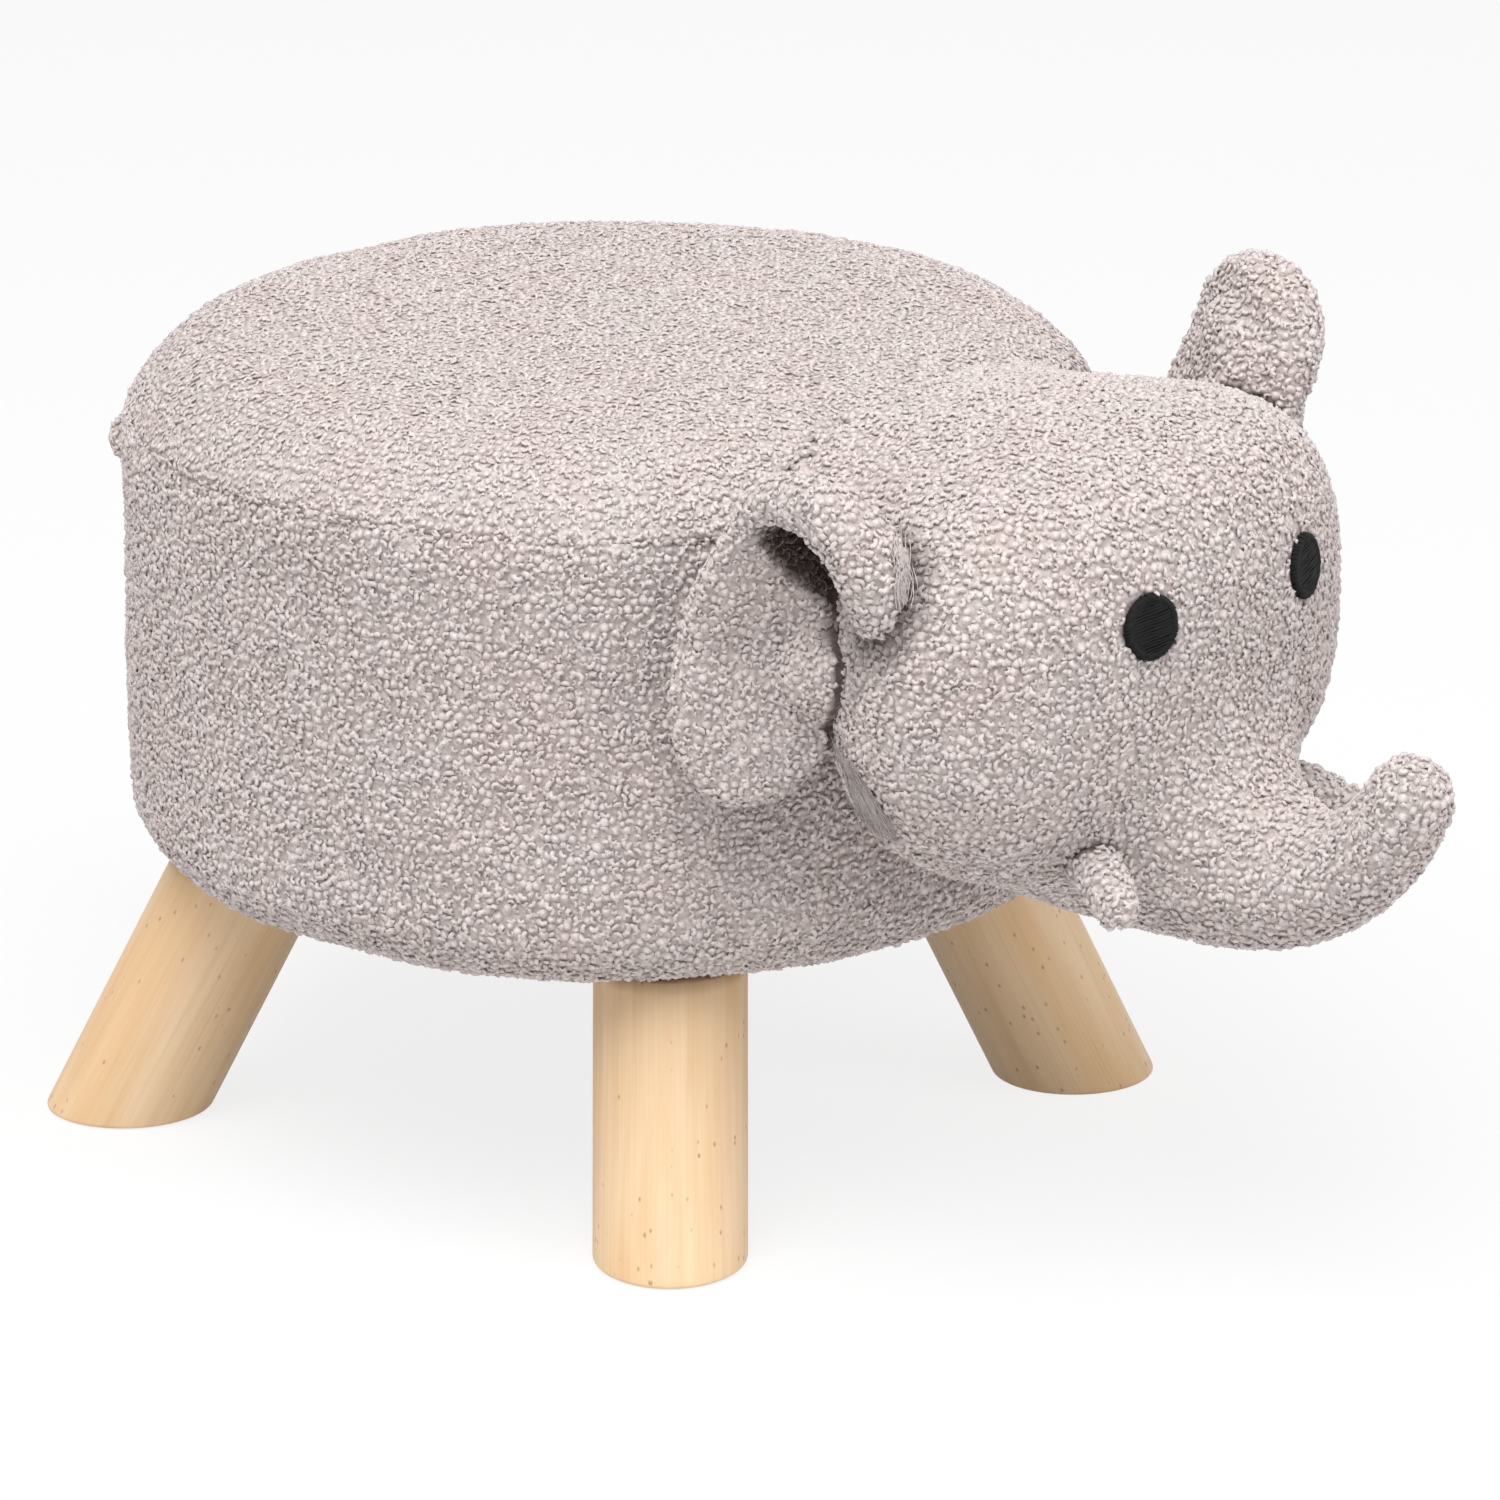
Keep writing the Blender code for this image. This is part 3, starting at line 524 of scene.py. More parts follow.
# The same for the right tusk, with how far it stands sideways first, and for the tail from the seat's rear top
TUSK_LINE = [(0.0380, 0.0220, -0.0440, 0.0085), (0.0430, 0.0300, -0.0485, 0.0082),
             (0.0500, 0.0430, -0.0520, 0.0080), (0.0565, 0.0535, -0.0570, 0.0070)]
TAIL_LINE = [(-0.0080, -0.0740, 0.0085), (0.0160, -0.0725, 0.0088), (0.0380, -0.0745, 0.0092),
             (0.0520, -0.0765, 0.0095)]


def from_head(sideways, forward, up):
    return HEAD_CENTRE + np.array((sideways, -forward, up))


def head_and_trunk(points):
    rows = spline([(*from_head(0, f, h), r - PILE_RISE) for f, h, r in TRUNK_LINE], 4)
    return smooth_union(head_distance(points) + PILE_RISE, tube(points, rows), 0.022)


def bear_pile(obj, neighbour, most, sink=0.002, bare=None):
    """Marks where the cloth bears pile: nowhere on the face that lies against its neighbour, given as a distance, or
    where bare says. It is sewn down there and at the face's edge, and stuffed elsewhere."""
    points = read_points(obj.data)
    away = neighbour(points)
    steps = np.eye(3) * 0.001
    outward = np.stack([neighbour(points + e) - neighbour(points - e) for e in steps], axis=-1)
    turned = np.einsum("ij,ij->i", outward, read_points(obj.data, "normal")) < -0.0004
    hidden = (away < -BURIED) | (turned & (away < PRESSED))
    if bare is not None:
        hidden |= bare(points)
    mark(obj, "pile", ~hidden)
    return stuff(obj, hidden | (away < SEWN_REACH), most, sink)


def near_eye(points):
    found = np.zeros(points.shape[:-1], bool)
    for sign in (1, -1):
        away = points - from_head(sign * EYE_SIDEWAYS, 0.050, EYE_RISE)
        found |= (np.hypot(away[..., 0], away[..., 2]) < EYE_RADIUS + 0.0002) & (away[..., 1] < 0.02)
    return found


def build_head():
    def distance(points):
        # The cloth bridges the valley between the seat's top and the head in a soft hollow.
        high = np.clip((points[..., 2] - 0.185) / 0.050, 0, 1) * np.clip((0.094 - np.abs(points[..., 0])) / 0.030, 0, 1)
        bridge = 0.006 + 0.034 * high * high * (3 - 2 * high)
        form = smooth_union(head_and_trunk(points), seat_distance(points) + 0.0020, bridge)
        # It ends a little way inside the seat's own pile.
        return smooth_cut(form, seat_distance(points) + 0.0012, 0.0016)

    low = HEAD_CENTRE - (0.105, 0.150, 0.088)
    high = HEAD_CENTRE + (0.105, 0.065, 0.075)
    head = form_object("head_and_trunk", distance, low, high)
    # Painted shade darkens the cloth where the ears' folds lie against the head.
    points = read_points(head.data)
    deep = np.zeros(len(points))
    for sign, shift, *rest in EARS.values():
        axes = ear_axes(sign, shift)
        a, b, _ = ear_places(points, axes)
        near = np.clip(1 - ear_distance(points, axes, *rest) / 0.0085, 0, 1)
        deep = np.maximum(deep, 0.72 * near * np.clip((a + 0.9) / 0.6, 0, 1) * np.clip((4.4 - b) / 0.9, 0, 1))
    mark(head, "deep", deep)
    return bear_pile(head, seat_distance, 0.005, bare=near_eye)


def stuffed_tube(name, line, neighbour, inside, reach):
    """A tapering tube of stuffed cloth that ends inside its neighbour, given as a distance."""
    rows = spline([(*place, radius - PILE_RISE) for *place, radius in line], 5)
    low, high = rows[:, :3].min(0) - 0.014, rows[:, :3].max(0) + 0.014
    obj = form_object(name, lambda p: smooth_cut(tube(p, rows), neighbour(p) + inside, reach), low, high, 0.0015)
    return bear_pile(obj, neighbour, 0.002)


def build_tusk(side, sign):
    line = [(*from_head(sign * x, f, h), r) for x, f, h, r in TUSK_LINE]
    return stuffed_tube(f"tusk_cloth_{side}", line, head_distance, 0.002, 0.002)


def build_tail():
    line = [(0, SEAT_AXIS_Y + SEAT_RADIUS + b, SEAT_TOP + h, r) for b, h, r in TAIL_LINE]
    return stuffed_tube("tail_cloth", line, seat_distance, 0.0002, 0.001)


# The ears. Each is laid out from its root in its own axes, in centimetres: towards the face, up, and outward.


EAR_ROOT = np.array((0.082, -0.166, 0.198))
EAR_TO_FACE = np.array((-0.643, -0.766, 0.0))
EAR_OUTWARD = np.array((0.766, -0.643, 0.0))
FLAP_WALL = 0.62
EAR_STEP = 0.0020
RIGHT_FOLD = [(-3.7, 3.7, 0.0, 0.52), (-3.1, 4.5, 0.5, 0.72), (-2.1, 4.75, 1.0, 0.92), (-1.15, 4.30, 1.40, 1.08),
              (-0.40, 3.50, 1.65, 1.16), (0.04, 2.50, 1.75, 1.12), (0.24, 1.40, 1.55, 0.92)]
LEFT_FOLD = [(-3.7, 3.7, 0.0, 0.55), (-3.1, 4.6, 0.50, 0.78), (-2.1, 4.85, 1.05, 1.00), (-1.15, 4.35, 1.50, 1.12),
             (-0.40, 3.55, 1.62, 1.05), (0.04, 2.60, 1.35, 0.95), (0.24, 1.55, 1.00, 0.80)]

# Each ear's side, how far its root stands forward and up, the line of its fold, and how shallow its hollow is
EARS = {"right": (-1, (0.0, 0.0), RIGHT_FOLD, 0.0), "left": (1, (0.010, 0.021), LEFT_FOLD, 0.45)}


def ear_axes(sign, shift):
    flip = np.array((sign, 1, 1))
    root = (EAR_ROOT + np.array((0, -shift[0], shift[1]))) * flip + np.array((0, SEAT_AXIS_Y, 0))
    return root, EAR_TO_FACE * flip, EAR_OUTWARD * flip


def ear_places(points, axes):
    """The points in an ear's own axes, in centimetres."""
    root, to_face, outward = axes
    away = (points - root) * 100
    return away @ to_face, away[..., 2], away @ outward


def ear_hollow(a, b, c):
    """The dark leaf-shaped hollow under the fold. It runs deeper towards the fold."""
    along, off = 0.611 * (a + 1.75) - 0.791 * (b - 2.20), 0.791 * (a + 1.75) + 0.611 * (b - 2.20)
    return oval(np.stack([along, off + 0.75 * (c - 0.6), c - 0.95], axis=-1), (0, 0, 0), (2.20, 0.78, 1.45))


def ear_distance(points, axes, fold, shallow):
    """fold is the line of the rolled front edge, and shallow is how much smaller than its fullest the hollow is."""
    a, b, c = ear_places(points, axes)
    plain = np.stack([a, b, c], axis=-1)
    # The flap is a round sheet of even thickness. Its lower part narrows and hangs back, its top leans out.
    hung = a - 0.24 * np.minimum(b, 0) - 0.10 * np.maximum(b, 0)
    wide = np.stack([(hung + 2.62) / 3.05, (b + 0.1) / 4.90], axis=-1)
    out = np.linalg.norm(wide, axis=-1)
    steep = np.hypot(wide[..., 0] / 3.05, wide[..., 1] / 4.90)
    rim = out * (out - 1) / np.maximum(steep, 1e-6) + FLAP_WALL
    middle = -0.95 + 0.24 * np.maximum(b, 0) + 0.35 * np.minimum(out, 1.2) ** 4
    puff = 0.22 * np.exp(-((hung + 1.9) ** 2 + (b + 2.4) ** 2) / 2.6)
    sheet = np.maximum(np.abs(c - middle) - puff, 0)
    flap = np.hypot(np.maximum(rim, 0), sheet) - FLAP_WALL
    # Its front top is rolled forward into a thick fold.
    fold = tube(plain, spline(fold, 4))
    web = tube(plain, spline([(-1.7, 3.7, -0.1, 0.60), (-0.75, 3.1, 0.4, 0.70), (-0.15, 2.0, 0.6, 0.78),
                              (0.15, 1.0, 0.7, 0.75), (0.1, 0.0, 0.5, 0.70)], 3))
    lobe = oval(plain, (-1.10, -0.75, 0.35), (1.35, 1.25, 0.75))
    neck = tube(plain, np.array([(-1.9, -0.6, -0.4, 0.75), (-0.6, 0.3, 0.4, 0.80), (0.3, 1.0, 1.0, 0.80)]))
    form = smooth_union(smooth_union(flap, lobe, 1.2), np.minimum(neck, web), 0.8)
    form = smooth_union(form, fold, 0.40)
    return smooth_cut(form, ear_hollow(a, b, c) + shallow, 0.20) / 100


def build_ear(side, sign, shift, fold, shallow):
    axes = ear_axes(sign, shift)
    root, to_face, outward = axes

    def bare(points):
        return (head_distance(points) < 0.0012) & (ear_places(points, axes)[1] < 0.6)

    def distance(points):
        form = ear_distance(points, axes, fold, shallow) + 0.0012
        form = smooth_cut(form, head_distance(points) + 0.002, 0.003)
        return smooth_cut(form, seat_distance(points) - 0.001, 0.003)

    centre = root - 0.025 * to_face + 0.01 * outward
    low = centre - (0.055, 0.055, 0.060)
    high = centre + (0.055, 0.055, 0.070)
    ear = form_object(f"ear_cloth_{side}", distance, low, high, EAR_STEP)
    # Painted shade darkens the cloth down into the hollow.
    a, b, c = ear_places(read_points(ear.data), axes)
    depth = -shallow - ear_hollow(a, b, c + 0.45)
    mark(ear, "deep", np.where(ear_hollow(a, b, c) + shallow < 0.3, np.clip((depth + 0.10) / 0.42, 0, 1) ** 1.5, 0))
    return bear_pile(ear, head_distance, 0.002, bare=bare)


COMBED_RADIUS = 0.00014

# Where the near ear's edge was brushed, its yarn lies in straight strands: (towards the face, up) at both ends of the
# outermost two, how many there are, and how far their colour goes towards painted shade.
COMBED = [
    (((-1.20, -2.45), (-0.20, -5.75)), ((-0.72, -2.80), (0.95, -5.55)), 170, 0.42),
    (((0.40, 4.20), (0.58, 1.75)), ((0.80, 4.00), (0.92, 2.00)), 70, 0.04),
]


def build_combed(side, cloth):
    sign, shift, *rest = EARS[side]
    axes = ear_axes(sign, shift)
    root, to_face, outward = axes
    chance = np.random.default_rng(8)
    points, faces, deep = [], [], []
    for one, other, count, shade in COMBED:
        one, other = np.array(one), np.array(other)
        for _ in range(count):
            share = chance.uniform(0, 1)
            ends = one + (other - one) * share + chance.normal(0, 0.07, (2, 2))
            first, last = sorted(chance.uniform(0, 1, 2))
            t = np.linspace(first * 0.7, 0.3 + 0.7 * last, 7)[:, None]
            flat = ends[0] + (ends[1] - ends[0]) * t
            flat[:, 0] += 0.06 * np.sin(t[:, 0] * 9 + chance.uniform(0, 6)) + 0.10 * np.sin(math.pi * t[:, 0])
            places = root + (flat[:, :1] * to_face + flat[:, 1:] * (0, 0, 1)) / 100
            # Each point comes in from outside until it meets the cloth.
            depth = np.linspace(0.034, -0.03, 160)
            ray = places[:, None] + depth[:, None] * outward
            form = np.minimum(np.minimum(head_distance(ray), seat_distance(ray)), ear_distance(ray, axes, *rest))
            met = depth[np.argmax(form < 0, axis=1)] + chance.uniform(0.0, 0.0006)
            met = np.convolve(np.pad(met, 1, mode="edge"), (0.25, 0.5, 0.25), "valid")
            line = places + met[:, None] * outward
            line[[0, -1]] -= 0.0012 * outward
            made, sides = strand(line, COMBED_RADIUS)
            faces += [tuple(i + len(points) for i in f) for f in sides]
            points += list(made)
            deep += [shade + chance.uniform(-0.06, 0.10)] * len(made)
    fringe = mesh_object(f"ear_combed_{side}", points, faces)
    mark(fringe, "deep", np.clip(deep, 0, 1))
    for name, value in (("pile", 1.0), ("rise", 0.8), ("tone", 0.5)):
        mark(fringe, name, np.full(len(points), value))
    fringe.data.materials.append(cloth)
    lay_out(fringe)
    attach(fringe, "root")


# The seat


def turned_object(name, profile, sides):
    """A closed skin turned round the seat's axis from (radius, height, bears pile) rows. A row of no radius is a
    pole; without poles the skin closes on itself."""
    angles = np.linspace(0, 2 * math.pi, sides, endpoint=False)
    points, pile, starts = [], [], []
    for radius, height, bears in profile:
        starts.append(len(points))
        ring = angles if radius > 0 else angles[:1]
        points += [(radius * math.cos(t), radius * math.sin(t) + SEAT_AXIS_Y, height) for t in ring]
        pile += [bears] * len(ring)
    poles = profile[0][0] == 0
    faces = []
    for i in range(len(profile) - (1 if poles else 0)):
        j = (i + 1) % len(profile)
        for s in range(sides):
            t = (s + 1) % sides
            one = (starts[i] + s, starts[i] + t) if profile[i][0] > 0 else (starts[i],)
            two = (starts[j] + t, starts[j] + s) if profile[j][0] > 0 else (starts[j],)
            faces.append(one[:1] + two[::-1] + one[1:])
    return np.array(points), faces, np.array(pile, np.float32)


def even_rows(rows, step):
    rows = np.array(rows, float)
    lengths = np.linalg.norm(np.diff(rows, axis=0), axis=1)
    along = np.concatenate([[0], np.cumsum(lengths)])
    at = np.linspace(0, along[-1], max(2, int(round(along[-1] / step)) + 1))
    return np.stack([np.interp(at, along, rows[:, 0]), np.interp(at, along, rows[:, 1])], axis=1)


def slack(points, amount, scale, seed):
    """Gentle unevenness of hand-stretched cloth, as an outward move of each point."""
    shift = Vector((seed, 0, 0))
    return np.array([noise.noise(Vector(p) * scale + shift) for p in points]) * amount


def crown(radius):
    """Height of the seat's top. Its fall ends level where the shoulder starts."""
    share = min(radius / (SEAT_RADIUS - SHOULDER_WIDTH), 1)
    return SEAT_TOP - PILE_RISE + SEAT_CROWN * 0.5 * (1 + math.cos(math.pi * share))


def rows_of(line, bears):
    return [(r, h, bears) for r, h in line]


def turned_cloth(name, rows, seed):
    points, faces, pile = turned_object(name, rows, 300)
    away = points - (0, SEAT_AXIS_Y, 0.17)
    away /= np.maximum(np.linalg.norm(away, axis=1), 1e-6)[:, None]
    moves = slack(points, 0.0016, 18, seed) + slack(points, 0.0006, 55, seed + 9)
    points += away * (moves * pile)[:, None]
    obj = mesh_object(name, points, faces)
    mark(obj, "pile", pile)
    seam = (np.abs(points[:, 2] - SEAM_HEIGHT) < 0.0012) & (np.hypot(points[:, 0], points[:, 1] - SEAT_AXIS_Y) > 0.12)
    return stuff(obj, (pile < 0.5) | seam, 0.003, 0.0003)


def build_seat():
    def edge(width, height, level, angles):
        """A quarter of an oval up from a level at the seat's side. A height below nought turns it down."""
        return [(SEAT_RADIUS - width + (width - PILE_RISE) * math.cos(a), level + height * math.sin(a)) for a in angles]

    shoulder = edge(SHOULDER_WIDTH, SHOULDER_DROP - PILE_RISE, SEAT_TOP - SHOULDER_DROP,
                    np.linspace(math.pi / 2, 0, 60))
    flat = [(r, crown(r)) for r in np.linspace(0.002, 0.104, 40)]
    upper = [p for p in shoulder if p[1] > SEAM_HEIGHT]
    lower = [p for p in shoulder if p[1] <= SEAM_HEIGHT]
    seam = upper[-1][0]
    top = even_rows(flat + upper + [(seam, SEAM_HEIGHT + 0.00006)], CLOTH_STEP)
    rows = [(0, crown(0), 1)] + rows_of(top, 1)
    rows += [(seam - 0.0030, SEAM_HEIGHT + 0.0004, 0), (0.104, crown(0.104) - 0.0035, 0), (0, crown(0) - 0.0035, 0)]
    cover = turned_cloth("seat_top_cloth", rows, 1)

    roll = edge(ROLL_WIDTH, PILE_RISE - ROLL_RISE, SEAT_BOTTOM + ROLL_RISE, np.linspace(0, math.pi / 2, 24))
    side = even_rows([(seam, SEAM_HEIGHT - 0.00006)] + lower + roll + [(HEM_RADIUS, HEM_HEIGHT + 0.0006)],
                     CLOTH_STEP)
    rows = [(seam - 0.0030, SEAM_HEIGHT - 0.0004, 0)] + rows_of(side, 1)
    rows += [(HEM_RADIUS, HEM_HEIGHT + 0.0016, 0), (SEAT_RADIUS - 0.024, HEM_HEIGHT + 0.0020, 0),
             (SEAT_RADIUS - 0.004, SEAT_BOTTOM + ROLL_RISE, 0), (SEAT_RADIUS - 0.005, SEAM_HEIGHT - 0.010, 0)]
    return cover, turned_cloth("seat_side_cloth", rows, 2)


# The legs


LEG_RADIUS = 0.0231
LEG_SIDES = 96
FOOT_ROUNDING = 0.0013


def leg_ends(name):
    """Middles of the leg's level foot and top."""
    points, ends = read_points(NODES[name].data), []
    for level in (points[:, 2].min(), points[:, 2].max()):
        ring = points[np.abs(points[:, 2] - level) < 0.0002]
        ends.append((ring.min(0) + ring.max(0)) / 2)
    return ends


def build_leg(name, number):
    foot, top = leg_ends(name)
    axis = (top - foot) / np.linalg.norm(top - foot)
    across = np.cross((0, 0, 1.0), axis)
    across /= np.linalg.norm(across)
    over = np.cross(axis, across)
    angles = np.linspace(0, 2 * math.pi, LEG_SIDES, endpoint=False)

    def ring(radius, height):
        start = foot + ring_round(radius, angles, across, over)
        return start + ((height - start[:, 2]) / axis[2])[:, None] * axis

    bends = np.linspace(math.pi / 2, 0, 6)
    rows = [ring(LEG_RADIUS - FOOT_ROUNDING * (1 - math.cos(t)), FOOT_ROUNDING * (1 - math.sin(t))) for t in bends]
    rows = [ring(LEG_RADIUS - FOOT_ROUNDING - k, 0.0) for k in (0.012, 0.004)] + rows
    rows += [ring(LEG_RADIUS, h) for h in np.linspace(FOOT_ROUNDING, top[2], 22)[1:]]
    rows += [ring(LEG_RADIUS - 0.010, top[2])]
    points = np.concatenate([[foot], *rows, [top]])
    obj = mesh_object(f"{name}_wood", points, rings_between_poles(len(rows), LEG_SIDES))
    away = points - foot
    local = np.stack([away @ across, away @ over, away @ axis], axis=1)
    turn = (0.4, 1.9, 3.3, 5.2)[number]
    turned = np.stack([local[:, 0] * math.cos(turn) - local[:, 1] * math.sin(turn),
                       local[:, 0] * math.sin(turn) + local[:, 1] * math.cos(turn),
                       local[:, 2] + 0.37 * number], axis=1)
    grain = obj.data.attributes.new("grain", "FLOAT_VECTOR", "POINT")
    grain.data.foreach_set("vector", turned.astype(np.float32).ravel())
    return obj


# The eyes: satin stitches in black thread over a low pad, with a ring of short ones round the edge


THREAD_RADIUS = 0.00027
THREAD_GLOSS = 0.22
STITCH_PITCH = 0.00046
EDGE_STITCHES = 132
PAD_SIDES = 48


def thread_tree():
    """Round thread along every line, laid over a pad."""
    tree, given = geometry_tree("laid thread", Pad="Object", Radius="Float", Cloth="Material")
    lines, pad, radius, cloth = given
    curves = put(tree, "GeometryNodeMeshToCurve", {0: lines}).outputs[0]
    section = put(tree, "GeometryNodeCurvePrimitiveCircle", {"Resolution": 6, "Radius": radius}).outputs[0]
    laid = put(tree, "GeometryNodeCurveToMesh", {"Curve": curves, "Profile Curve": section, "Fill Caps": True})
    below = put(tree, "GeometryNodeObjectInfo", {"Object": pad})
    finish_tree(tree, cloth, laid.outputs[0], below.outputs["Geometry"])
    return tree


def build_eye(side, sign, ground, tree, thread):
    """ground is the head's cloth, to be stitched through."""
    start = Vector(from_head(sign * EYE_SIDEWAYS, 0.12, EYE_RISE))
    middle = np.array(ground.ray_cast(start, Vector((0, 1, 0)))[0])
    reach = 0.004
    slope = [head_distance(middle + step) - head_distance(middle - step) for step in np.eye(3) * reach]
    facing = np.array(slope) / np.linalg.norm(slope)
    across = np.cross((0, 0, 1), facing)
    across /= np.linalg.norm(across)
    upward = np.cross(facing, across)

    def on_head(p, q, height):
        away = Vector(middle + p * across + q * upward + 0.03 * facing)
        return np.array(ground.ray_cast(away, Vector(-facing))[0]) + height * facing

    angles = np.linspace(0, 2 * math.pi, PAD_SIDES, endpoint=False)
    rows = [(r, 0.00125 - 0.0002 * (r / EYE_RADIUS) ** 2) for r in np.linspace(0.0016, EYE_RADIUS - 0.0004, 7)]
    rows += [(EYE_RADIUS - 0.0001, 0.0006), (EYE_RADIUS - 0.0006, -0.0006), (0.004, -0.0008)]
    points = [on_head(0, 0, 0.00125)]
    for radius, height in rows:
        points += [on_head(radius * math.cos(t), radius * math.sin(t), height) for t in angles]
    points.append(on_head(0, 0, -0.0008))
    pad = mesh_object("eye_pad", points, turned_over(rings_between_poles(len(rows), PAD_SIDES)))

    chance = np.random.default_rng(40 + sign)
    lines = []
    inner = EYE_RADIUS - 0.0009
    for number, q in enumerate(np.arange(-inner + 0.0002, inner, STITCH_PITCH)):
        half = math.sqrt(inner**2 - q**2) * chance.uniform(0.96, 1.03)
        breaks = [-half, half]
        if half > 0.004:
            breaks = [-half, chance.uniform(-0.3, 0.3) * half + (number % 2 - 0.5) * 0.003, half]
        for left, right in zip(breaks[:-1], breaks[1:]):
            t = np.linspace(0, 1, 9)
            height = 0.00105 + 0.00050 * np.sin(math.pi * t) ** 0.35 + chance.uniform(0, 0.00012)
            lean = q + (t - 0.5) * 0.0010 + chance.normal(0, 0.00006)
            lines.append([on_head(left + (right - left) * k, m, h) for k, m, h in zip(t, lean, height)])
    for t in np.linspace(0, 2 * math.pi, EDGE_STITCHES, endpoint=False):
        reach = EYE_RADIUS + chance.normal(0, 0.00016)
        line = []
        for share, height in ((0.0, 0.0010), (0.15, 0.00165), (0.5, 0.0019), (0.85, 0.0015), (1.0, 0.0003)):
            radius = reach - 0.0023 * (1 - share)
            turn = t + 0.10 * share
            line.append(on_head(radius * math.cos(turn), radius * math.sin(turn), height))
        lines.append(line)
    mesh = bpy.data.meshes.new("stitches")
    edges, start = [], 0
    for line in lines:
        edges += [(start + i, start + i + 1) for i in range(len(line) - 1)]
        start += len(line)
    mesh.from_pydata([tuple(p) for line in lines for p in line], edges, [])
    eye = bpy.data.objects.new(f"eye_stitches_{side}", mesh)
    bpy.context.scene.collection.objects.link(eye)
    run_tree(eye, tree, Pad=pad, Radius=THREAD_RADIUS, Cloth=thread)
    eye.data.shade_smooth()
    bpy.data.objects.remove(pad)
    finish_piece(eye, "eye_thread", f"eye_{side}")


# Staples that hold the dust cover to the base board


STAPLES = 26
STAPLE_MARGIN = 0.0050


def build_staples(wire):
    line = [(-5.0, 0, 1.6), (-5.0, 0, 0.5), (-4.7, 0, -0.25), (4.7, 0, -0.25), (5.0, 0, 0.5), (5.0, 0, 1.6)]
    points, faces = strand(line, 0.42, math.pi / 4, 4)
    staple = mesh_object("staple", np.array(points) * 0.001, faces, False, linked=False)
    low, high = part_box("dust_cover")
    tree, given = geometry_tree("row of staples", Staple="Object", Count="Int", Radius="Float", Height="Float",
                                Cloth="Material")
    _, one, count, radius, height, cloth = given
    ring = put(tree, "GeometryNodeMeshCircle", {"Vertices": count, "Radius": radius}, fill_type="NONE")
    number = put(tree, "GeometryNodeInputIndex").outputs[0]
    turn = calc(tree, "DIVIDE", number, count)
    turn = calc(tree, "ADD", calc(tree, "ADD", turn, 0.25), number_between(tree, -0.012, 0.012, 5))
    turn = turn_by(tree, vector(tree, 0.0, 0.0, calc(tree, "MULTIPLY", turn, 2 * math.pi)))
    shape = put(tree, "GeometryNodeObjectInfo", {"Object": one, "As Instance": True}).outputs["Geometry"]
    placed = put(tree, "GeometryNodeInstanceOnPoints", {"Points": ring.outputs[0], "Instance": shape, "Rotation": turn})
    shift = vector(tree, 0.0, SEAT_AXIS_Y, height)
    moved = put(tree, "GeometryNodeTransform", {"Geometry": placed.outputs[0], "Translation": shift})
    finish_tree(tree, cloth, moved.outputs[0])
    staples = mesh_object("dust_cover_staples", [(0, 0, 0)], [], False)
    run_tree(staples, tree, Staple=staple, Count=STAPLES, Radius=(high.x - low.x) / 2 - STAPLE_MARGIN,
             Height=low.z, Cloth=wire)
    bpy.data.objects.remove(staple)
    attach(staples, "root")


# Materials


# Knobs of the cloth's ground in each metre, and its colours from between the knobs up to their tips: painted shade down
# between the knobs and a painted highlight on their tips
GROUND_KNOBS = 430.0
CLOTH_SHADED_GAP = (0.54, 0.475, 0.450)
CLOTH_MIDDLE = (0.68, 0.618, 0.598)
CLOTH_LIT_TIP = (0.71, 0.655, 0.637)
# The bare ground of the cloth where it bears no pile, made dark as painted shade in the joins between parts
CLOTH_BARE_AND_SHADE = (0.085, 0.060, 0.052, 1)
# The colour of painted shade in the ears' hollows and creases
CLOTH_PAINTED_SHADE = (0.040, 0.022, 0.017, 1)


def material(name):
    made = bpy.data.materials.new(name)
    made.use_nodes = True
    return made, made.node_tree.nodes["Principled BSDF"], made.node_tree


def ramp(tree, share, *stops):
    """A ramp through the stops, each a place and a colour. A colour of one number is a grey."""
    node = put(tree, "ShaderNodeValToRGB", {0: share})
    marks = node.color_ramp.elements
    while len(marks) < len(stops):
        marks.new(0.5)
    for mark, (place, color) in zip(marks, stops):
        mark.position = place
        mark.color = (*color, 1) if len(color) == 3 else (color[0],) * 3 + (1,)
    return node.outputs[0]


def blend_colors(tree, share, one, two, kind="MIX"):
    return put(tree, "ShaderNodeMix", {0: share, 6: one, 7: two}, data_type="RGBA", blend_type=kind).outputs[2]


def tint_by(tree, color, value, share, *stops):
    """The colour, darkened by the stops of a ramp over the value."""
    return blend_colors(tree, share, color, ramp(tree, value, *stops), "MULTIPLY")


def spotted(tree, color, place, channel, above, spot, *fade):
    """The colour, with a round spot in each cell whose own number is above the limit."""
    cells = put(tree, "ShaderNodeTexVoronoi", {"Vector": place, "Scale": 1.0, "Randomness": 1.0}).outputs
    own = put(tree, "ShaderNodeSeparateColor", {0: cells["Color"]}).outputs[channel]
    share = calc(tree, "MULTIPLY", ramp(tree, cells["Distance"], *fade), calc(tree, "GREATER_THAN", own, above))
    return blend_colors(tree, share, color, spot)


def relief(tree, strength, distance, height):
    bump = {"Strength": strength, "Distance": distance, "Height": height}
    return put(tree, "ShaderNodeBump", bump).outputs[0]


def brighten(tree, color, value):
    return put(tree, "ShaderNodeHueSaturation", {"Color": color, "Value": value}).outputs[0]


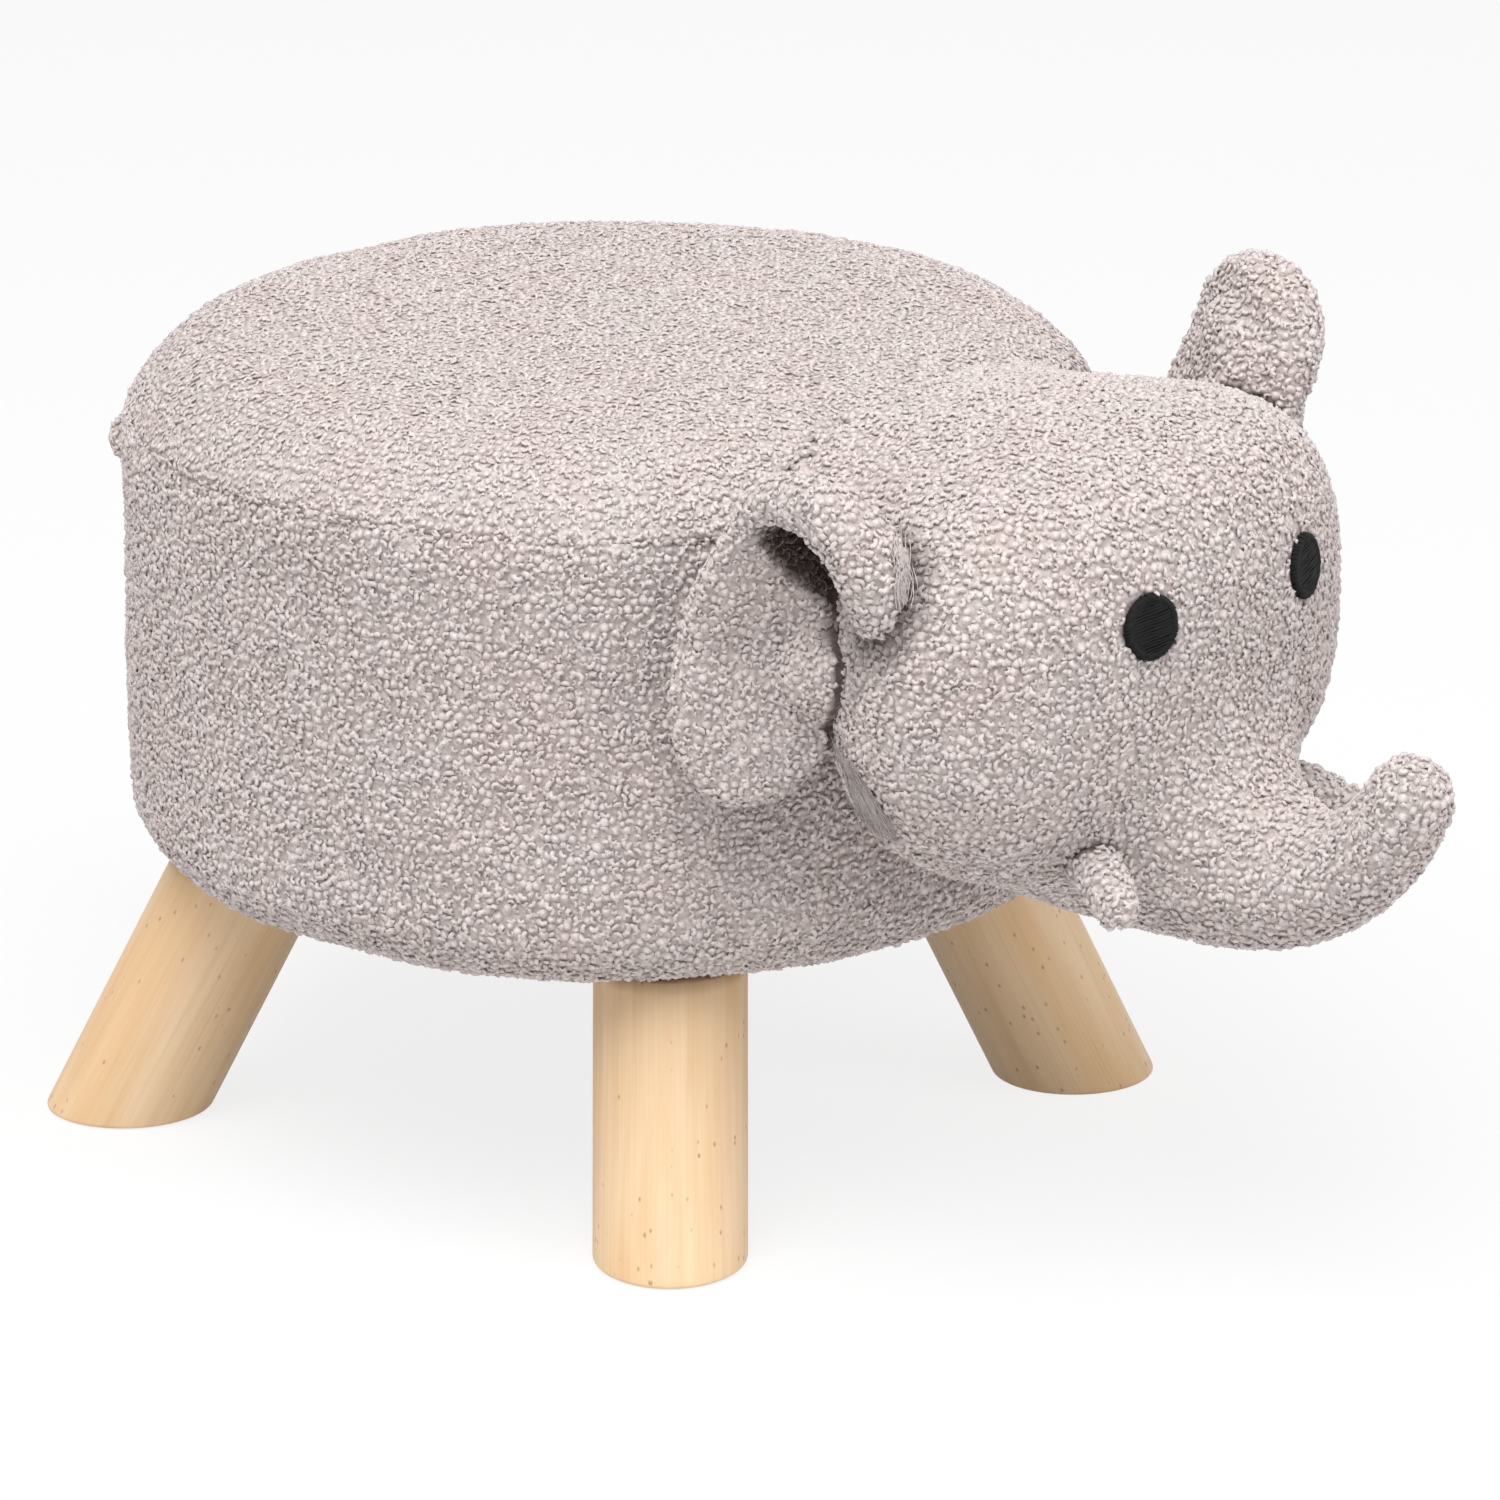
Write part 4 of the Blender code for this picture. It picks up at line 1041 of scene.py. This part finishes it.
def grained(name, dark, light, scales, rough, metallic=0.0, height=0.0003):
    """A finish whose tone, sheen and relief all follow one noise, stretched by its scales per metre."""
    made, shader, tree = material(name)
    place = stretch(tree, put(tree, "ShaderNodeTexCoord").outputs["Object"], scales)
    fine = clouds(tree, place, 4.0)
    slow = clouds(tree, place, 1.0, 0.12)
    color = ramp(tree, fine, (0.30, dark), (0.68, light))
    color = tint_by(tree, color, slow, 1.0, (0.35, (0.90,)), (0.65, (1.0,)))
    feed(tree, shader, {"Base Color": color, "Roughness": remap(tree, fine, 0.3, 0.7, *rough),
                        "Normal": relief(tree, 0.4, height, fine), "Metallic": metallic})
    return made


FRAME_FINISHES = {
    "seat_foam": ((0.78, 0.72, 0.50), (0.90, 0.85, 0.64), (700, 700, 700), (0.9, 1.0)),
    "side_wadding": ((0.80, 0.80, 0.79), (0.93, 0.93, 0.92), (300, 300, 300), (0.9, 1.0)),
    "base_board": ((0.50, 0.34, 0.19), (0.72, 0.53, 0.33), (400, 30, 400), (0.55, 0.75)),
    "top_board": ((0.50, 0.34, 0.19), (0.72, 0.53, 0.33), (400, 30, 400), (0.55, 0.75)),
    "frame_wall": ((0.27, 0.16, 0.08), (0.42, 0.27, 0.15), (500, 500, 500), (0.45, 0.65)),
    "frame_post": ((0.66, 0.46, 0.26), (0.84, 0.65, 0.41), (500, 500, 20), (0.5, 0.7)),
    "dust_cover": ((0.035, 0.035, 0.037), (0.085, 0.085, 0.088), (900, 900, 900), (0.75, 0.95)),
    "screw": ((0.62, 0.64, 0.68), (0.78, 0.80, 0.84), (900, 900, 900), (0.25, 0.42), 1.0, 0.00005),
    "leg_bolt": ((0.48, 0.47, 0.45), (0.62, 0.61, 0.59), (900, 900, 900), (0.28, 0.45), 1.0, 0.00005),
    "leg_insert": ((0.60, 0.50, 0.30), (0.74, 0.63, 0.40), (900, 900, 900), (0.28, 0.45), 1.0, 0.00005),
}


def finish_frame():
    """Gives the frame's own solids their finishes."""
    made = {key: grained(f"{key}_finish", *values) for key, values in FRAME_FINISHES.items()}
    for name, obj in NODES.items():
        for key, finish in made.items():
            if key in name:
                obj.data.materials.clear()
                obj.data.materials.append(finish)
    return made["screw"]


def boucle():
    """Looped warm grey yarn, with painted shade between the knobs and a painted highlight at their tips, and a slow
    drift of tone.
    """
    made, shader, tree = material("boucle_yarn")
    place = put(tree, "ShaderNodeTexCoord").outputs["Object"]
    rise, tone, pile, deep = (attribute(tree, name) for name in ("rise", "tone", "pile", "deep"))
    # The ground is knobbly too, where it shows between the larger knobs, with painted shade round the edge of each of
    # its knobs.
    knots = put(tree, "ShaderNodeTexVoronoi", {"Vector": place, "Scale": GROUND_KNOBS, "Randomness": 1.0})
    low = remap(tree, rise, 0.0, 0.04, 1.0, 0.0)
    pit = calc(tree, "MULTIPLY", knots.outputs["Distance"], low)
    lit_share = remap(tree, knots.outputs["Distance"], 0.1, 0.65, 0.95, 0.0)
    lit_share = calc(tree, "MULTIPLY_ADD", lit_share, low, rise)
    # Painted shade low on the knobs and between them, and a painted highlight on their tips.
    color = ramp(tree, lit_share, (0.0, CLOTH_SHADED_GAP), (0.5, CLOTH_MIDDLE), (1.0, CLOTH_LIT_TIP))
    drift = clouds(tree, place, 3.0, 42.0)
    color = tint_by(tree, color, drift, 1.0, (0.35, (0.985,)), (0.70, (1.0, 0.960, 0.952)))
    color = brighten(tree, color, remap(tree, tone, 0.0, 1.0, 0.95, 1.05))
    # Fine loops of the yarn wind through every knob.
    fibre = {"Vector": place, "Scale": 1500.0, "Detail": 2.0, "Distortion": 1.4}
    fibre = put(tree, "ShaderNodeTexNoise", fibre).outputs[0]
    color = brighten(tree, color, remap(tree, fibre, 0.36, 0.64, 0.86, 1.10))
    # Painted shade in the ears' hollows, in the crease beside the near ear's fold and on the combed strands.
    color = blend_colors(tree, deep, color, CLOTH_PAINTED_SHADE)
    # Where there is no pile, the bare ground shows, dark as painted shade.
    color = blend_colors(tree, pile, CLOTH_BARE_AND_SHADE, color)
    wound = calc(tree, "MULTIPLY", fibre, 0.16)
    bump = relief(tree, 1.0, 0.0010, calc(tree, "MULTIPLY_ADD", pit, -1.0, wound))
    feed(tree, shader, {"Base Color": color, "Roughness": remap(tree, fibre, 0.3, 0.7, 0.80, 1.0), "Normal": bump,
                        "Sheen Weight": 0.60, "Sheen Tint": (1.0, 0.90, 0.87, 1), "Sheen Roughness": 0.5,
                        "Specular IOR Level": 0.25})
    return made


def pine():
    """Turned pine with its growth rings, fine fibre, resin pores and a pin knot or two."""
    made, shader, tree = material("pine_wood")
    grain = attribute(tree, "grain", "Vector")
    sway = clouds(tree, stretch(tree, grain, (22.0, 22.0, 5.0)), 2.0)
    # Rings run round a heart that lies beside the leg, a little out of line with it.
    heart = put(tree, "ShaderNodeVectorMath", {0: grain, 1: (0.034, 0.010, 0.0)}, operation="ADD").outputs[0]
    parts = put(tree, "ShaderNodeSeparateXYZ", {0: heart})
    slid = calc(tree, "ADD", parts.outputs[0], calc(tree, "MULTIPLY", parts.outputs[2], 0.035))
    flat = vector(tree, slid, parts.outputs[1], 0.0)
    out = put(tree, "ShaderNodeVectorMath", {0: flat}, operation="LENGTH").outputs["Value"]
    waved = calc(tree, "MULTIPLY_ADD", sway, 0.0060, out)
    rings = calc(tree, "FRACT", calc(tree, "MULTIPLY", waved, 265.0))
    late = ramp(tree, rings, (0.0, (0.55,)), (0.12, (0.0,)), (0.62, (0.15,)), (0.93, (1.0,)), (1.0, (0.55,)))
    fibre = clouds(tree, stretch(tree, grain, (1500.0, 1500.0, 22.0)), 3.0)
    broad = clouds(tree, stretch(tree, grain, (160.0, 160.0, 9.0)), 2.0)
    color = ramp(tree, broad, (0.30, (0.755, 0.535, 0.325)), (0.70, (0.810, 0.605, 0.390)))
    dark = blend_colors(tree, 1.0, color, (0.86, 0.74, 0.58, 1), "MULTIPLY")
    share = calc(tree, "MULTIPLY", late, 0.18)
    color = blend_colors(tree, share, color, dark)
    color = tint_by(tree, color, fibre, 0.5, (0.30, (0.90, 0.87, 0.82)), (0.55, (1.0,)))
    patches = clouds(tree, stretch(tree, grain, (75.0, 75.0, 15.0)), 2.0)
    color = tint_by(tree, color, patches, 1.0, (0.36, (0.965, 0.895, 0.80)), (0.58, (1.0,)))
    color = spotted(tree, color, stretch(tree, grain, (520.0, 520.0, 300.0)), 0, 0.905, (0.33, 0.16, 0.07, 1),
                    (0.0, (1.0,)), (0.32, (0.0,)))
    color = spotted(tree, color, stretch(tree, grain, (30.0, 30.0, 16.0)), 1, 0.86, (0.42, 0.21, 0.09, 1),
                    (0.0, (0.85,)), (0.055, (0.6,)), (0.10, (0.0,)))
    feed(tree, shader, {"Base Color": color, "Roughness": remap(tree, fibre, 0.3, 0.7, 0.62, 0.46),
                        "Normal": relief(tree, 0.25, 0.0004, fibre)})
    return made


# Putting it together


def lay_out(obj):
    """A map with a place of its own for every face, on a grid of squares: two triangles share one square, and a
    wider face has four."""
    mesh = obj.data
    start, count = np.empty(len(mesh.polygons), np.int64), np.empty(len(mesh.polygons), np.int64)
    mesh.polygons.foreach_get("loop_start", start)
    mesh.polygons.foreach_get("loop_total", count)
    narrow, wide = np.flatnonzero(count == 3), np.flatnonzero(count != 3)
    side = 2 * math.ceil(math.sqrt(4 * len(wide) + len(narrow) / 2) / 2) + 4
    places = np.zeros((len(mesh.loops), 2))
    number = np.arange(len(wide))
    corner = 2 * np.stack([number % (side // 2), number // (side // 2)], axis=1) + 1.0
    for k in range(int(count.max())):
        has = count[wide] > k
        sides = count[wide][has]
        angle = 2 * math.pi * k / sides + math.pi / 4
        reach = np.where(sides == 4, 1.27, 0.93)
        spread = np.stack([np.cos(angle), np.sin(angle)], axis=1) * reach[:, None]
        places[start[wide][has] + k] = corner[has] + spread
    below = 2 * math.ceil(len(wide) / (side // 2))
    square = np.arange(len(narrow)) // 2
    corner = np.stack([square % side, below + square // side], axis=1)
    first = np.array([(0.06, 0.06), (0.84, 0.06), (0.06, 0.84)])
    for k in range(3):
        half = np.where(np.arange(len(narrow))[:, None] % 2, 1 - first[k], first[k])
        places[start[narrow] + k] = corner + half
    layer = mesh.uv_layers.new(name="OFBake")
    layer.uv.foreach_set("vector", (places / side).astype(np.float32).ravel())


def finish_piece(obj, slot, *nodes):
    """Every piece rides on the one body and stands for its solids."""
    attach(obj, "root")
    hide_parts(*nodes)


def build_all():
    build_staples(finish_frame())
    cloth = boucle()
    curls, pile = curl_shapes(), pile_tree()
    head = build_head()
    ground = BVHTree.FromPolygons([v.co for v in head.data.vertices], [p.vertices for p in head.data.polygons])
    thread = grained("black_thread", (0.003, 0.003, 0.003), (0.012, 0.011, 0.011), (1600, 1600, 1600), (0.5, 0.75))
    thread.node_tree.nodes["Principled BSDF"].inputs["Specular IOR Level"].default_value = THREAD_GLOSS
    laid = thread_tree()
    for name, sign in (("right", -1), ("left", 1)):
        build_eye(name, sign, ground, laid, thread)
    soft = [(head, 0.85, ("head", "trunk")), (build_tail(), 0.7, ("tail",))]
    top, side = build_seat()
    soft += [(top, 0.95, ("seat_top_cover",)), (side, 0.95, ("seat_side_cover",))]
    for name, (sign, *rest) in EARS.items():
        soft.append((build_tusk(name, sign), 0.85, (f"tusk_{name}",)))
        soft.append((build_ear(name, sign, *rest), 0.6, (f"ear_{name}",)))
    for number, (obj, fill, nodes) in enumerate(soft):
        obj.data.materials.append(cloth)
        run_tree(obj, pile, Curls=curls, Spacing=CURL_SPACING, Size=CURL_SIZE,
                 Height=SAT_ON if obj is top else 1.0, Lean=CURL_TILT, Seed=number + 4, Cloth=cloth)
        lay_out(obj)
        finish_piece(obj, "boucle_cloth", *nodes)
    build_combed("right", cloth)
    wood = pine()
    for number, name in enumerate(n for n in sorted(NODES) if n.startswith("leg_") and n.count("_") == 2):
        leg = build_leg(name, number)
        leg.data.materials.append(wood)
        finish_piece(leg, "leg_pine", name)
    for curl in list(curls.objects):
        bpy.data.objects.remove(curl)
    bpy.data.collections.remove(curls)


# The floor, the light and the camera. What the camera sees of the first two is whiter than the light that they give.


def shown_white(tree):
    """1 for what the camera sees straight, in gloss or through glass, and 0 for the light that falls on the object."""
    path = put(tree, "ShaderNodeLightPath").outputs
    seen = calc(tree, "MAXIMUM", path["Is Camera Ray"], path["Is Glossy Ray"])
    return calc(tree, "MAXIMUM", seen, path["Is Transmission Ray"])


WORLD_LIGHT = 0.44
FLOOR_GLOW = 0.82
LIGHTS = (("key", (-1.0, -0.3, 2.4), 2.0, 68), ("fill", (0.5, -2.2, 1.7), 1.6, 22))
LIT_POINT = (0, 0, 0.15)
CAMERA_PLACE = (-1.7150, -1.4575 + SEAT_AXIS_Y, 0.8789)
CAMERA_TURN = (1.2416, 0, -0.8848)
FILM_WIDTH = 36
FOCAL_LENGTH = 7677.8 / 1500 * FILM_WIDTH
FLOOR_REACH = 4


def stage_and_light():
    scene = bpy.context.scene
    scene.view_settings.view_transform = "Standard"
    camera = bpy.data.objects.new("camera", bpy.data.cameras.new("camera"))
    scene.collection.objects.link(camera)
    camera.location = CAMERA_PLACE
    camera.rotation_euler = CAMERA_TURN
    camera.data.sensor_width = FILM_WIDTH
    camera.data.lens = FOCAL_LENGTH
    camera.data.clip_end = 50
    scene.camera = camera
    world = bpy.data.worlds.new("studio")
    scene.world = world
    world.use_nodes = True
    tree = world.node_tree
    strength = remap(tree, shown_white(tree), 0.0, 1.0, WORLD_LIGHT, 1.0)
    feed(tree, tree.nodes["Background"], {0: (1, 1, 1, 1), 1: strength})
    for name, place, size, power in LIGHTS:
        data = bpy.data.lights.new(name, "AREA")
        data.size = size
        data.energy = power
        light = bpy.data.objects.new(name, data)
        light.location = place
        light.rotation_euler = (Vector(LIT_POINT) - Vector(place)).to_track_quat("-Z", "Y").to_euler()
        scene.collection.objects.link(light)
    corners = [(x * FLOOR_REACH, y * FLOOR_REACH, FLOOR) for x, y in ((-1, -1), (1, -1), (1, 1), (-1, 1))]
    floor = mesh_object("floor", corners, [(0, 1, 2, 3)], False)
    made, shader, tree = material("floor_white")
    feed(tree, shader, {"Base Color": (0.80, 0.80, 0.80, 1), "Roughness": 0.9})
    glow = put(tree, "ShaderNodeEmission", {0: (1, 1, 1, 1), 1: 1.0})
    share = calc(tree, "MULTIPLY", shown_white(tree), FLOOR_GLOW)
    mixed = put(tree, "ShaderNodeMixShader", {0: share, 1: shader.outputs[0], 2: glow.outputs[0]})
    tree.links.new(mixed.outputs[0], tree.nodes["Material Output"].inputs[0])
    floor.data.materials.append(made)


build_all()
stage_and_light()
